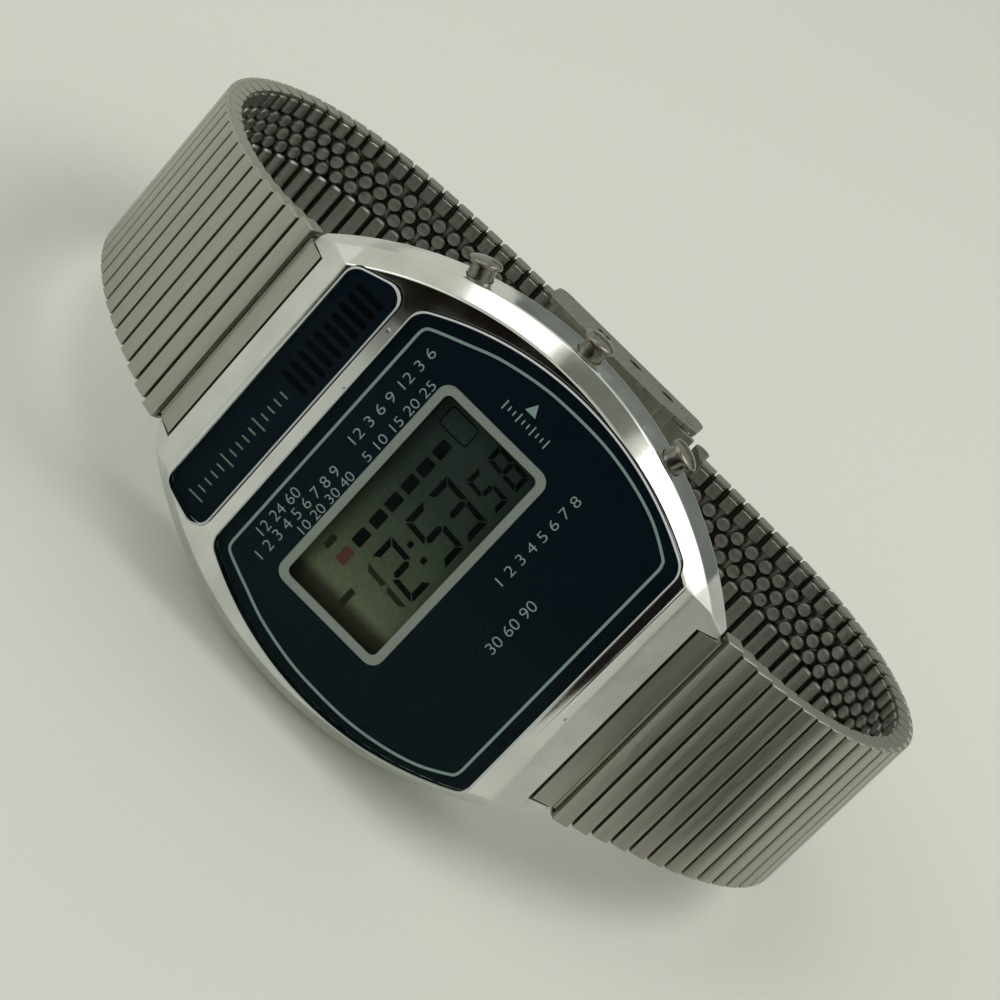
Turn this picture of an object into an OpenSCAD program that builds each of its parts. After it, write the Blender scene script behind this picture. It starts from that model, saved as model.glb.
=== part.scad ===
// Digital alarm watch on a steel link bracelet, in millimetres.
// Each piece is drawn in the watch's own frame: X towards 3 o'clock, Y towards 12 o'clock
// and Z out of the glass, with Z = 0 on the glass. lying() then lays the closed watch on the
// 9 o'clock flank of its case and the edge of its clasp, with the floor at Z = 0.

/* [Case] */
// Half of the case's width, at the ridge of its flanks
case_half_w = 16.5; // [16.3:0.1:16.8]
// Radius of the flanks, seen from the front
flank_r = 28; // [27.8:0.1:28.4]
// Width of the polished chamfer along each flank
chamfer_w = 1.5; // [1.3:0.1:1.7]
// Depth of the flat bezel below the glass
bezel_depth = 0.5; // [0.4:0.05:0.6]
// Depth of the ridge below the glass
ridge_depth = 1.8; // [1.7:0.05:1.9]
// Height of the side wall below the ridge
side_h = 2.4; // [2.3:0.05:2.5]
// How far the flank is drawn in under its side wall
undercut_w = 1.2; // [1.1:0.05:1.3]
// Depth of the case's underside below the glass
case_depth = 7.4; // [7.4:0.1:7.8]
// Where the flat bezel ends towards 12 and 6 o'clock
bezel_half_l = 15.75; // [15.7:0.05:15.9]
// Where the case wall behind the end link stands
seat_half_l = 17.45; // [17.4:0.05:17.5]
// How far the lugs stand out beyond that wall
lug_l = 1.45; // [1.4:0.05:1.6]
// Gap between the two lugs of a pair
lug_gap = 17.1; // [17:0.05:17.3]
// Thickness of the side wall round the movement
wall_t = 2.5; // [2.4:0.05:2.6]
// Half of the movement cavity's length
cavity_half_l = 11.6; // [11.5:0.05:11.8]
// Thickness of the case back
back_t = 0.8; // [0.7:0.05:1]

/* [Windows] */
// Radius of the main glass's curved sides
glass_r = 23.2; // [23:0.1:23.3]
// Half of the main glass's greatest width
glass_half_w = 14.7; // [14.5:0.05:14.75]
// Height on the dial at which the main glass is widest
glass_mid_y = -2; // [-2.2:0.1:-1.8]
// Upper edge of the main glass
glass_top_y = 10.3; // [10.2:0.05:10.35]
// Lower edge of the main glass
glass_low_y = -14.3; // [-14.4:0.05:-14.2]
// Corner radius of the main glass
glass_corner = 1.5; // [1.2:0.1:1.8]
// Upper edge of the small upper glass
plaque_top_y = 15.5; // [15.4:0.05:15.55]
// Lower edge of the small upper glass
plaque_low_y = 11.15; // [11.1:0.05:11.2]
// Half of the small upper glass's greatest width
plaque_half_w = 13.1; // [13:0.02:13.12]
// Radius of the small upper glass's curved ends
plaque_r = 44.5; // [44:0.1:44.6]
// Corner radius of the small upper glass
plaque_corner = 1.1; // [1:0.1:1.3]
// Thickness of both glasses
glass_t = 1.1; // [1:0.05:1.2]
// Bevel along the edge of both glasses
bevel = 0.22; // [0.15:0.01:0.25]
// Thickness of the printed film under each glass
film_t = 0.1; // [0.08:0.01:0.12]

/* [Display] */
// Width over the silver frame of the display
frame_w = 18.7; // [18.5:0.1:18.8]
// Height over the silver frame of the display
frame_h = 9.7; // [9.6:0.05:9.8]
// Height on the dial of the display's middle
frame_y = 0.9; // [0.8:0.05:1]
// Middle of the display frame, left and right on the dial
frame_x = -0.42; // [-0.5:0.02:-0.3]
// Width of the silver frame's rim
frame_rim = 0.65; // [0.5:0.05:0.7]
// Depth of the liquid crystal cell below the glass
cell_depth = 2.1; // [2.05:0.05:2.2]
// Thickness of the liquid crystal cell
cell_t = 1.2; // [1.1:0.05:1.25]

/* [Pushers] */
// Angle between neighbouring pushers, about the middle of the flank's arc
pusher_step = 18.4; // [18:0.1:19]
// Angle of the middle pusher above the middle of the case
pusher_lead = 0.4; // [0:0.1:0.8]
// Depth of the pushers' axes below the glass
pusher_depth = 3.1; // [3.05:0.05:3.15]
// Radius of a pusher's shank
shank_r = 1; // [0.9:0.05:1]
// Radius of a pusher's domed cap
cap_r = 1.2; // [1.1:0.05:1.25]
// Radius of a pusher's stem
stem_r = 0.6; // [0.5:0.05:0.65]
// How far a pusher stands out of the flank
pusher_out = 1.65; // [1.6:0.05:1.8]
// How far a pusher goes in when it is pressed
pusher_travel = 0.7; // [0.5:0.05:0.7]
// Depth of the pusher's counterbore in the flank
counterbore = 1.6; // [1.55:0.05:1.65]

/* [Bracelet] */
// Strap width at the case
strap_w = 18; // [17.8:0.1:18.2]
// Strap width at the clasp
strap_end_w = 14.6; // [14.55:0.05:14.7]
// Length over which most of the taper happens
taper_l = 8; // [7.5:0.1:8.5]
// Distance from one row of links to the next
row_pitch = 1.58; // [1.575:0.005:1.585]
// Gap between the outer strips of neighbouring rows
row_gap = 0.2; // [0.18:0.01:0.22]
// Thickness of a row's outer strip
strip_t = 0.45; // [0.4:0.01:0.46]
// Height of the bars and beads on the inner side
bead_h = 1.05; // [1:0.01:1.06]
// Radius of a bead
bead_r = 0.57; // [0.54:0.01:0.58]
// Distance between neighbouring columns of beads
bead_step = 1.07; // [1.05:0.01:1.08]
// Half of the length of the middle bar
mid_bar_half = 2.2; // [2.16:0.02:2.22]

/* [Clasp] */
// Width over the clasp's cover
cover_w = 15.6; // [15.55:0.05:15.7]
// Length of the clasp's cover
cover_l = 16.1; // [16:0.1:16.4]
// Height of the cover over its turned-down sides
cover_h = 4.2; // [4.1:0.05:4.3]
// Thickness of the clasp's sheet
sheet_t = 0.4; // [0.35:0.01:0.42]
// Distance between the adjustment slots
slot_step = 3.55; // [3.4:0.05:3.6]

/* [Hidden] */
$fn = 48;

chrome = [0.80, 0.80, 0.79];
steel = [0.60, 0.59, 0.54];
navy = [0.03, 0.07, 0.11];
fit = 0.03;
slip = 0.05;
eps = 0.01;

// The flank arcs are centred this far beyond the middle of the case
arc_c = flank_r - case_half_w;
lug_half_l = seat_half_l + lug_l;
side_low = ridge_depth + side_h;
cavity_r = flank_r - wall_t;
ledge_depth = glass_t + film_t + 0.02;
front_low = ledge_depth + 0.8;

// The bracelet starts here, at the groove between the end link and its first row
strap_y0 = seat_half_l + 1.85;
strap_z0 = -3.45;
// Rows in each movable stretch of the strap, and how far each stretch bends in all
rows_12 = [6, 6, 6, 6, 6, 6, 5];
bends_12 = [20, 24.5, 31.5, 34.5, 33.5, 13, 2];
start_12 = -21;
rows_6 = [5, 5, 5, 5, 5, 5, 6];
bends_6 = [6, 23, 32, 34, 30, 23, 4];
start_6 = -28;
strap_rest = 0.2;

function total(list, n, i = 0) = i >= n ? 0 : list[i] + total(list, n, i + 1);
function row_angles(start, rows, bends) = [for (s = [0:len(rows) - 1], k = [0:rows[s] - 1])
    start - total(bends, s) - bends[s] * (k + 0.5) / rows[s]];
function walk(p, angles, i = 0) = i >= len(angles) ? [p]
    : concat([p], walk(p + row_pitch * [cos(angles[i]), sin(angles[i])], angles, i + 1));
function strap_width(i) = strap_end_w + (strap_w - strap_end_w) * exp(-i * row_pitch / taper_l);
angles_12 = row_angles(start_12, rows_12, bends_12);
angles_6 = row_angles(start_6, rows_6, bends_6);
path_12 = walk([strap_y0, strap_z0], angles_12);
path_6 = walk([strap_y0, strap_z0], angles_6);
end_12 = path_12[len(path_12) - 1];
end_6 = path_6[len(path_6) - 1];

// Levels of the clasp, measured up from the strap's hinge line inside the cover
clasp_z = end_12[1];
cover_out = clasp_z - strip_t - strap_rest - sheet_t;
cover_in = cover_out + sheet_t;
cover_low = cover_out + cover_h;
bar_lead = 1.5;
clasp_bar_y = end_12[0] - bar_lead;
clasp_bar_z = clasp_z + (bead_h - strip_t) / 2;
cover_y12 = clasp_bar_y + 5.2;
cover_y6 = cover_y12 - cover_l;
blade_t = 0.45;
eye_r = 0.7;
clasp_pin_r = 0.38;
middle_low = clasp_z + bead_h + 0.2;
inner_low = middle_low + blade_t + 0.4;
fold_y6 = cover_y6 + 1.1;
fold_z6 = middle_low;
fold_y12 = cover_y12 - 1.1;
fold_z12 = middle_low + blade_t + 0.2;
blade_half_w = strap_end_w / 2;

// The watch lies on the lower edge of its 9 o'clock flank and the outer edge of the clasp
tilt = atan((case_half_w - cover_w / 2) / (-cover_out - side_low));
function laid(x, z) = [x * sin(tilt) - z * cos(tilt), x * cos(tilt) + z * sin(tilt)];
floor_z = laid(-case_half_w, -side_low)[1];
function reach(path, angles) = max([for (i = [0:len(angles) - 1], e = [row_gap / 2, row_pitch - row_gap / 2])
    path[i][0] + e * cos(angles[i]) - strip_t * sin(angles[i])]);
mid_x = (reach(path_6, angles_6) - reach(path_12, angles_12)) / 2;
front_y = laid(slip + bevel - glass_half_w, 0)[0];
rear_y = laid(cover_w / 2, cover_out)[0];
mid_y = (front_y + rear_y) / 2;

module lying() {
    translate([-mid_x, -mid_y, -floor_z]) rotate([-tilt, 0, 0])
        multmatrix([[0, -1, 0, 0], [0, 0, -1, 0], [1, 0, 0, 0]]) children();
}

// Outline of a barrel: arcs of radius r left and right, straight ends and rounded corners
function corner_x(c, r, y0, yc, k) = -c + sqrt(pow(r - k, 2) - pow(yc - y0, 2));
function barrel_side(c, r, y0, lo, hi, k) =
    let (yl = lo + k, yh = hi - k, xl = corner_x(c, r, y0, yl, k), xh = corner_x(c, r, y0, yh, k),
        al = atan2(yl - y0, xl + c), ah = atan2(yh - y0, xh + c))
    concat([for (i = [0:5]) let (a = -90 + (al + 90) * i / 5) [xl + k * cos(a), yl + k * sin(a)]],
        [for (i = [1:15]) let (a = al + (ah - al) * i / 16) [-c + r * cos(a), y0 + r * sin(a)]],
        [for (i = [0:5]) let (a = ah + (90 - ah) * i / 5) [xh + k * cos(a), yh + k * sin(a)]]);
function barrel_points(c, r, y0, lo, hi, k) =
    let (s = barrel_side(c, r, y0, lo, hi, k))
    concat(s, [for (i = [len(s) - 1:-1:0]) [-s[i][0], s[i][1]]]);

module main_outline(in = 0) {
    polygon(barrel_points(glass_r - glass_half_w, glass_r - in, glass_mid_y, glass_low_y + in, glass_top_y - in,
        glass_corner));
}

module upper_outline(in = 0) {
    polygon(barrel_points(plaque_r - plaque_half_w, plaque_r - in, 0, plaque_low_y + in, plaque_top_y - in,
        plaque_corner));
}

// A slab whose top and bottom lie at these depths below the glass
module slab(top, bottom) {
    translate([0, 0, -bottom]) linear_extrude(bottom - top) children();
}

// A solid with the flanks' arcs: side holds [radius, depth] and ends holds [half length, depth]
module barrel(side, ends) {
    intersection() {
        translate([-arc_c, 0, 0]) rotate_extrude() polygon(side);
        translate([arc_c, 0, 0]) rotate_extrude() polygon(side);
        rotate([90, 0, 90]) translate([0, 0, -case_half_w - 1]) linear_extrude(2 * case_half_w + 2)
            polygon(concat(ends, [for (i = [len(ends) - 1:-1:0]) [-ends[i][0], ends[i][1]]]));
    }
}

module plain_barrel(r, half_l, top, bottom) {
    barrel([[0, -bottom], [r, -bottom], [r, -top], [0, -top]], [[half_l, -bottom], [half_l, -top]]);
}

module at_pusher(i) {
    translate([-arc_c, 0, -pusher_depth]) rotate([0, 90, pusher_lead + i * pusher_step]) children();
}

// A bar across the watch, centred on X, at this height on the dial and depth
module across(y, z, r, l) {
    translate([-l / 2, y, z]) rotate([0, 90, 0]) cylinder(r = r, h = l);
}

/* The case and what it holds */
bar_y = seat_half_l + 0.55;
bar_z = -3.9;
bar_r = 0.6;
bar_tip_r = 0.4;
bar_tip_l = 0.7;
link_eye_r = 1.05;
screw_y = cavity_half_l + 2.3;
screw_x = sqrt(pow(cavity_r, 2) - pow(screw_y, 2)) - arc_c - 0.58;
back_half_l = cavity_half_l + 3.8;
screw_r = 0.47;
screw_head_r = 1;
screw_head_h = 0.4;
screw_l = 2.6;
gasket_w = 0.5;
gasket_in = 0.3;
opening_w = frame_w + 1;
opening_h = frame_h + 1;

module case_middle() {
    color(chrome) difference() {
        barrel([[0, -case_depth], [flank_r - undercut_w, -case_depth], [flank_r, -side_low],
                [flank_r, -ridge_depth], [flank_r - chamfer_w, -bezel_depth], [0, -bezel_depth]],
            [[bezel_half_l + 1.2, -case_depth], [lug_half_l, -5.6], [lug_half_l, -3.1],
                [bezel_half_l + 1.85, -ridge_depth], [bezel_half_l, -bezel_depth]]);
        for (s = [-1, 1]) {
            translate([-lug_gap / 2, s > 0 ? seat_half_l : -lug_half_l - 1, -case_depth - 1])
                cube([lug_gap, lug_half_l - seat_half_l + 1, case_depth + 1]);
            across(s * bar_y, bar_z, link_eye_r + 0.22, lug_gap);
            across(s * bar_y, bar_z, bar_tip_r + fit, lug_gap + 2 * bar_tip_l + 0.1);
        }
        slab(-1, ledge_depth) main_outline();
        slab(-1, ledge_depth) upper_outline();
        slab(ledge_depth - eps, front_low + eps) translate([frame_x, frame_y])
            square([opening_w, opening_h], center = true);
        plain_barrel(cavity_r, cavity_half_l, front_low, case_depth + 1);
        difference() {
            plain_barrel(cavity_r + gasket_in + gasket_w, cavity_half_l + gasket_in + gasket_w,
                case_depth - gasket_w, case_depth + 1);
            plain_barrel(cavity_r + gasket_in, cavity_half_l + gasket_in, case_depth - gasket_w - 1, case_depth + 2);
        }
        for (x = [-screw_x, screw_x], y = [-screw_y, screw_y])
            translate([x, y, -case_depth - 1]) cylinder(r = screw_r + fit, h = screw_l + 1.1);
        for (i = [-1:1]) at_pusher(i) {
            translate([0, 0, cavity_r - 1]) cylinder(r = stem_r + fit, h = wall_t);
            translate([0, 0, flank_r - counterbore]) cylinder(r = shank_r + slip, h = counterbore + 1);
            translate([0, 0, cavity_r + 0.25]) cylinder(r = stem_r + 0.35, h = 0.4);
            translate([0, 0, flank_r - 0.15]) cylinder(r = cap_r + 0.25, h = 1);
        }
    }
}

module bevelled(t) {
    hull() {
        slab(0, t) children(0);
        slab(bevel, t) children(1);
    }
}

module main_crystal() {
    color(navy, 0.5) bevelled(glass_t) {
        main_outline(bevel + slip);
        main_outline(slip);
    }
}

module upper_crystal() {
    color(navy, 0.5) bevelled(glass_t) {
        upper_outline(bevel + slip);
        upper_outline(slip);
    }
}

module rounded(w, h, r) {
    difference() {
        square([w, h], center = true);
        for (x = [-1, 1], y = [-1, 1]) translate([x * w / 2, y * h / 2]) difference() {
            square(2 * r, center = true);
            translate([-x * r, -y * r]) circle(r = r);
        }
    }
}

module dial_film() {
    color(navy) slab(glass_t, glass_t + film_t) difference() {
        main_outline(slip);
        translate([frame_x, frame_y]) square([frame_w, frame_h], center = true);
    }
}

module upper_film() {
    color(navy) slab(glass_t, glass_t + film_t) upper_outline(slip);
}

module display_frame() {
    color([0.62, 0.62, 0.58]) slab(glass_t, glass_t + film_t) translate([frame_x, frame_y]) difference() {
        square([frame_w - 2 * eps, frame_h - 2 * eps], center = true);
        square([frame_w - 2 * frame_rim, frame_h - 2 * frame_rim], center = true);
    }
}

module lcd_cell() {
    color([0.30, 0.31, 0.25]) slab(cell_depth, cell_depth + cell_t) translate([frame_x, frame_y])
        square([opening_w - 0.4, opening_h + 0.6], center = true);
}

module lcd_reflector() {
    color([0.7, 0.7, 0.66]) slab(cell_depth + cell_t, cell_depth + cell_t + 0.1) translate([frame_x, frame_y])
        square([opening_w - 0.6, 2 * strip_y - 1], center = true);
}

board_top = 4.62;
board_t = 0.6;
board_low = board_top + board_t;
module_r = cavity_r - 2.1;
module_half_l = cavity_half_l - 0.6;
board_w = 2 * (module_r - arc_c - 2.5);
board_h = 2 * (module_half_l - 1.6);
strip_x = opening_w / 2 - 0.5;
strip_y = opening_h / 2 - 0.4;

module contact_strips() {
    color([0.25, 0.25, 0.28]) for (s = [-1, 1]) slab(cell_depth + cell_t, board_top)
        translate([frame_x, frame_y + s * strip_y]) square([2 * strip_x, 0.9], center = true);
}

module module_frame() {
    color([0.85, 0.84, 0.78]) difference() {
        plain_barrel(module_r, module_half_l, front_low + 0.03, board_low + 0.7);
        slab(front_low, cell_depth + cell_t + 0.1) translate([frame_x, frame_y])
            square([opening_w - 0.2, opening_h + 0.8], center = true);
        for (s = [-1, 1]) slab(front_low, board_top + 1) translate([frame_x, frame_y + s * strip_y])
            square([2 * strip_x + 0.2, 1.1], center = true);
        slab(board_top - eps, board_low + 1) square([board_w + 0.2, board_h + 0.2], center = true);
        slab(front_low, 3.3) translate([frame_x - opening_w / 2 - 0.6, frame_y])
            square([1.3, 2.8], center = true);
    }
}

module circuit_board() {
    color([0.12, 0.32, 0.18]) slab(board_top, board_low) square([board_w, board_h], center = true);
}

module driver_chip() {
    color([0.05, 0.05, 0.05]) translate([-5.6, 5.6, 0]) {
        slab(board_low, board_low + 0.5) circle(r = 2.3);
        slab(board_low, board_low + 0.9) circle(r = 1.7);
    }
}

module quartz_can() {
    color([0.75, 0.75, 0.76]) translate([1.5, 6.6, -board_low - 0.78]) rotate([0, 90, 0])
        cylinder(r = 0.75, h = 5.2);
}

module trimmer() {
    color([0.8, 0.7, 0.3]) translate([-1.2, 7.2, 0]) difference() {
        slab(board_low, board_low + 1.1) circle(r = 1.2);
        slab(board_low + 0.8, board_low + 2) square([1.6, 0.3], center = true);
    }
}

module backlight_lamp() {
    color([0.95, 0.9, 0.7]) translate([frame_x - opening_w / 2 - 0.6, frame_y - 1.2, -cell_depth - 0.62])
        rotate([-90, 0, 0]) cylinder(r = 0.45, h = 2.4);
}

battery_x = 2.4;
battery_y = -3.8;
battery_r = 4.75;
battery_t = 1.65;

module battery() {
    color([0.78, 0.78, 0.76]) translate([battery_x, battery_y, -board_low - battery_t]) {
        cylinder(r = battery_r - 0.5, h = battery_t);
        translate([0, 0, 0.35]) cylinder(r = battery_r, h = battery_t - 0.35);
    }
}

module battery_clip() {
    color([0.8, 0.72, 0.4]) translate([battery_x, battery_y, 0]) {
        slab(board_low + battery_t + 0.02, board_low + battery_t + 0.15)
            square([2 * battery_r + 0.9, 2.4], center = true);
        for (s = [-1, 1]) slab(board_low, board_low + battery_t + 0.15)
            translate([s * (battery_r + 0.3), 0]) square([0.3, 2.4], center = true);
    }
}

piezo_top = case_depth - 0.2;

module piezo_disc() {
    color([0.82, 0.7, 0.35]) slab(piezo_top, case_depth) translate([-1, 1]) circle(r = 6);
}

module piezo_spring() {
    color([0.8, 0.72, 0.4]) slab(board_low, piezo_top) translate([-5.6, -0.6]) difference() {
        circle(r = 0.9);
        circle(r = 0.65);
    }
}

clip_t = 0.2;
stem_end = cavity_r - 0.7;

// A leaf stands in front of each pusher, further in than the stem reaches when it is pressed
module button_contacts() {
    color([0.8, 0.72, 0.4]) for (i = [-1:1]) at_pusher(i)
        translate([-0.5, -0.9, module_r + 0.02]) cube([1, 1.8, 0.15]);
}

module case_back() {
    color(steel) difference() {
        barrel([[0, -case_depth - back_t], [cavity_r + 0.6, -case_depth - back_t],
                [cavity_r + 0.9, -case_depth - back_t + 0.3], [cavity_r + 0.9, -case_depth], [0, -case_depth]],
            [[back_half_l - 0.3, -case_depth - back_t], [back_half_l, -case_depth - back_t + 0.3],
                [back_half_l, -case_depth]]);
        for (x = [-screw_x, screw_x], y = [-screw_y, screw_y]) translate([x, y, -case_depth - back_t - 1]) {
            cylinder(r = screw_r + fit, h = back_t + 2);
            cylinder(r = screw_head_r + fit, h = screw_head_h + 1);
        }
    }
}

module back_gasket() {
    color([0.1, 0.1, 0.1]) difference() {
        plain_barrel(cavity_r + gasket_in + gasket_w - fit, cavity_half_l + gasket_in + gasket_w - fit,
            case_depth - gasket_w + fit, case_depth);
        plain_barrel(cavity_r + gasket_in + fit, cavity_half_l + gasket_in + fit, case_depth - gasket_w - 1,
            case_depth + 1);
    }
}

module back_screws() {
    color(steel) for (x = [-screw_x, screw_x], y = [-screw_y, screw_y])
        translate([x, y, -case_depth - back_t]) difference() {
            union() {
                cylinder(r = screw_head_r, h = screw_head_h);
                cylinder(r = screw_r, h = screw_l + back_t);
            }
            translate([-screw_head_r, -0.12, -1]) cube([2 * screw_head_r, 0.24, 1.2]);
        }
}

spring_room = 0.6;
shank_in = flank_r - counterbore + spring_room + pusher_travel - 0.1;
cap_in = flank_r + pusher_out - 0.45;

// Stem, shank and domed cap in one piece, with the clip on the stem inside the case
module pusher(i) {
    color([0.72, 0.70, 0.62]) at_pusher(i) {
        rotate_extrude() polygon([[0, stem_end], [stem_r, stem_end], [stem_r, cavity_r - clip_t - 0.06],
            [stem_r - 0.15, cavity_r - clip_t - 0.06], [stem_r - 0.15, cavity_r - 0.02], [stem_r, cavity_r - 0.02],
            [stem_r, shank_in], [shank_r, shank_in], [shank_r, cap_in], [cap_r, cap_in],
            [cap_r, cap_in + 0.15], [cap_r * 0.92, cap_in + 0.27], [cap_r * 0.7, cap_in + 0.37],
            [cap_r * 0.4, cap_in + 0.43], [0, cap_in + 0.45]]);
        translate([0, 0, cavity_r - clip_t - 0.04]) difference() {
            cylinder(r = stem_r + 0.45, h = clip_t);
            translate([0, 0, -1]) cylinder(r = stem_r - 0.13, h = clip_t + 2);
        }
    }
}

module pusher_spring(i) {
    color(steel) at_pusher(i) translate([0, 0, flank_r - counterbore]) difference() {
        cylinder(r = shank_r - 0.02, h = shank_in - flank_r + counterbore);
        translate([0, 0, -1]) cylinder(r = stem_r + 0.12, h = counterbore + 2);
    }
}

module pusher_seals() {
    color([0.1, 0.1, 0.1]) for (i = [-1:1]) at_pusher(i) translate([0, 0, cavity_r + 0.27]) difference() {
        cylinder(r = stem_r + 0.33, h = 0.36);
        translate([0, 0, -1]) cylinder(r = stem_r + 0.02, h = 3);
    }
}

/* The bracelet */
link_half_w = lug_gap / 2 - 0.12;
link_slope = -35;
link_t = 0.5;
link_top = [seat_half_l + 0.23, -1.98];

module spring_bar() {
    color(steel) {
        across(bar_y, bar_z, bar_r, lug_gap - 0.1);
        across(bar_y, bar_z, bar_tip_r, lug_gap + 2 * bar_tip_l - 0.1);
    }
}

// Rolled round its spring bar, with a flat face that runs on from the slope of the case
module end_link(path, angles, start) {
    color(steel) difference() {
        union() {
            link_pin(path, angles, start, 0, link_pin_r, 2 * link_half_w);
            across(bar_y, bar_z, link_eye_r, 2 * link_half_w);
            rotate([90, 0, 90]) translate([0, 0, -link_half_w]) linear_extrude(2 * link_half_w) polygon([
                link_top,
                [strap_y0 - row_gap / 2 - 0.12, link_top[1] + (strap_y0 - link_top[0]) * tan(link_slope)],
                [strap_y0 - row_gap / 2 - 0.1, strap_z0 - 0.1], [bar_y + 0.5, bar_z + 0.1],
                [bar_y - 0.3, bar_z + 0.6]]);
        }
        across(bar_y, bar_z, bar_r + fit, lug_gap);
    }
}

module at_row(p, a) {
    translate([0, p[0], p[1]]) rotate([a, 0, 0]) rotate([0, 0, 90]) children();
}

// Each movable stretch turns on a pin that its parent carries, sunk this far below the strips
pin_sink = 0.25;
link_pin_r = 0.24;

module link_pin(path, angles, start, i, r, w) {
    m = i == 0 ? start : (angles[i - 1] + angles[i]) / 2;
    across(path[i][0] + pin_sink * sin(m), path[i][1] - pin_sink * cos(m), r, w);
}

// One row of links: a flat outer strip, with bars and beads on its inner side.
// Every second column of beads reaches under the next row, half a pitch further on.
module row(w, linked) {
    round = 0.08;
    near = row_gap / 2;
    far = row_pitch - row_gap / 2;
    bar_l = 1.2;
    bar_in = 0.25;
    side_bar = mid_bar_half + 0.1 + 3 * bead_step + 0.14;
    rotate([90, 0, 0]) translate([0, 0, -w / 2]) linear_extrude(w) polygon([[near, 0], [far, 0],
        [far, strip_t - round], [far - round, strip_t], [near + round, strip_t], [near, strip_t - round]]);
    translate([(row_pitch - bar_l) / 2, 0, -bead_h]) {
        translate([0, -mid_bar_half, 0]) cube([bar_l, 2 * mid_bar_half, bead_h + slip]);
        for (s = [-1, 1]) translate([0, s > 0 ? side_bar : -w / 2 + bar_in, 0])
            cube([bar_l, w / 2 - bar_in - side_bar, bead_h + slip]);
    }
    for (s = [-1, 1]) {
        translate([row_pitch / 2, s * (mid_bar_half + 0.65 + bead_step), -bead_h])
            cylinder(r = bead_r, h = bead_h + slip);
        for (c = [0, 2]) translate([row_pitch, s * (mid_bar_half + 0.65 + c * bead_step), -bead_h]) {
            cylinder(r = bead_r, h = bead_h - 0.17);
            translate([-0.5, -0.3, bead_h - 0.6]) cube([0.38, 0.6, 0.6 + slip]);
            if (linked) translate([0.12, -0.3, bead_h - 0.6]) cube([0.38, 0.6, 0.6 + slip]);
        }
    }
}

// The rows of one movable stretch of a strap half; n counts from the case
module stretch(path, angles, rows, start, n) {
    first = total(rows, n - 1);
    last = first + rows[n - 1] - 1;
    color(steel) {
        difference() {
            for (i = [first:last]) at_row(path[i], angles[i]) row(strap_width(i), i < last);
            link_pin(path, angles, start, first, link_pin_r + fit, strap_w + 1);
        }
        if (n < len(rows)) link_pin(path, angles, start, last + 1, link_pin_r, strap_width(last + 1) - 0.5);
    }
}

// The eye at the clasp end of a strap half, joined to its last row
module strap_eye(p, a, reach, drop, half_w) {
    color(steel) at_row(p, a) difference() {
        union() {
            translate([reach, half_w, drop]) rotate([90, 0, 0]) cylinder(r = eye_r, h = 2 * half_w);
            hull() {
                translate([reach, half_w, drop]) rotate([90, 0, 0]) cylinder(r = clasp_pin_r + 0.1, h = 2 * half_w);
                translate([-0.3, -half_w, -0.3]) cube([0.4, 2 * half_w, 0.6]);
            }
        }
        translate([reach, half_w + 1, drop]) rotate([90, 0, 0]) cylinder(r = clasp_pin_r + fit, h = 2 * half_w + 2);
    }
}

// The 12 side ends level with its rows; the 6 side is cranked down to the inner blade
pin_lead = 0.55;
drop_12 = (strip_t - bead_h) / 2;
drop_6 = end_6[1] - inner_low - blade_t / 2;
strap_end_half = strap_end_w / 2 - 0.1;

module strap_12(n) {
    stretch(path_12, angles_12, rows_12, start_12, n);
    if (n == len(rows_12)) strap_eye(end_12, 180, bar_lead, drop_12, strap_end_half);
}

module strap_6(n) {
    mirror([0, 1, 0]) {
        stretch(path_6, angles_6, rows_6, start_6, n);
        if (n == len(rows_6)) strap_eye(end_6, 180, pin_lead, drop_6, strap_end_half);
    }
}

/* The clasp */
module clasp_cover() {
    r = 0.9;
    side = concat([[cover_y12 - 0.5, cover_low], [cover_y12, cover_low - 0.6]],
        [for (i = [0:4]) [cover_y12 - r + r * cos(i * 22.5), cover_out + r - r * sin(i * 22.5)]],
        [for (i = [0:4]) [cover_y6 + r - r * sin(i * 22.5), cover_out + r - r * cos(i * 22.5)]],
        [[cover_y6, fold_z6 + eye_r], [cover_y6 + 1.6, cover_low - 0.5], [cover_y6 + 4, cover_low]]);
    color(steel) difference() {
        rotate([90, 0, 90]) translate([0, 0, -cover_w / 2]) linear_extrude(cover_w) polygon(side);
        translate([-cover_w / 2 + sheet_t, cover_y6 - 1, cover_in])
            cube([cover_w - 2 * sheet_t, cover_l + 2, cover_h + 1]);
        for (k = [0:2]) translate([0, clasp_bar_y - k * slot_step, clasp_bar_z]) for (e = [-0.3, 0.3])
            across(e, 0, 0.33, cover_w + 1);
        for (k = [0:2]) translate([-cover_w / 2 - 1, clasp_bar_y - k * slot_step - 0.3, clasp_bar_z - 0.33])
            cube([cover_w + 2, 0.6, 0.66]);
        across(fold_y6, fold_z6, clasp_pin_r + fit, cover_w + 1);
    }
}

module clasp_spring_bar() {
    color(steel) {
        across(clasp_bar_y, clasp_bar_z, clasp_pin_r, cover_w - 2 * sheet_t - 0.1);
        across(clasp_bar_y, clasp_bar_z, 0.3, cover_w - 0.1);
    }
}

module clasp_hinge_pin() {
    color(steel) across(fold_y6, fold_z6, clasp_pin_r, cover_w - 0.1);
}

module middle_blade() {
    color(steel) difference() {
        union() {
            across(fold_y6, fold_z6, eye_r, 2 * blade_half_w);
            across(fold_y12, fold_z12, eye_r, blade_half_w - 0.3);
            translate([-blade_half_w, fold_y6, middle_low])
                cube([2 * blade_half_w, fold_y12 - fold_y6 - eye_r - 0.15, blade_t]);
            translate([-blade_half_w / 2 + 0.15, fold_y12 - 2, middle_low])
                cube([blade_half_w - 0.3, 2, blade_t]);
        }
        across(fold_y6, fold_z6, clasp_pin_r + fit, cover_w);
        across(fold_y12, fold_z12, clasp_pin_r + fit, cover_w);
    }
}

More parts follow.
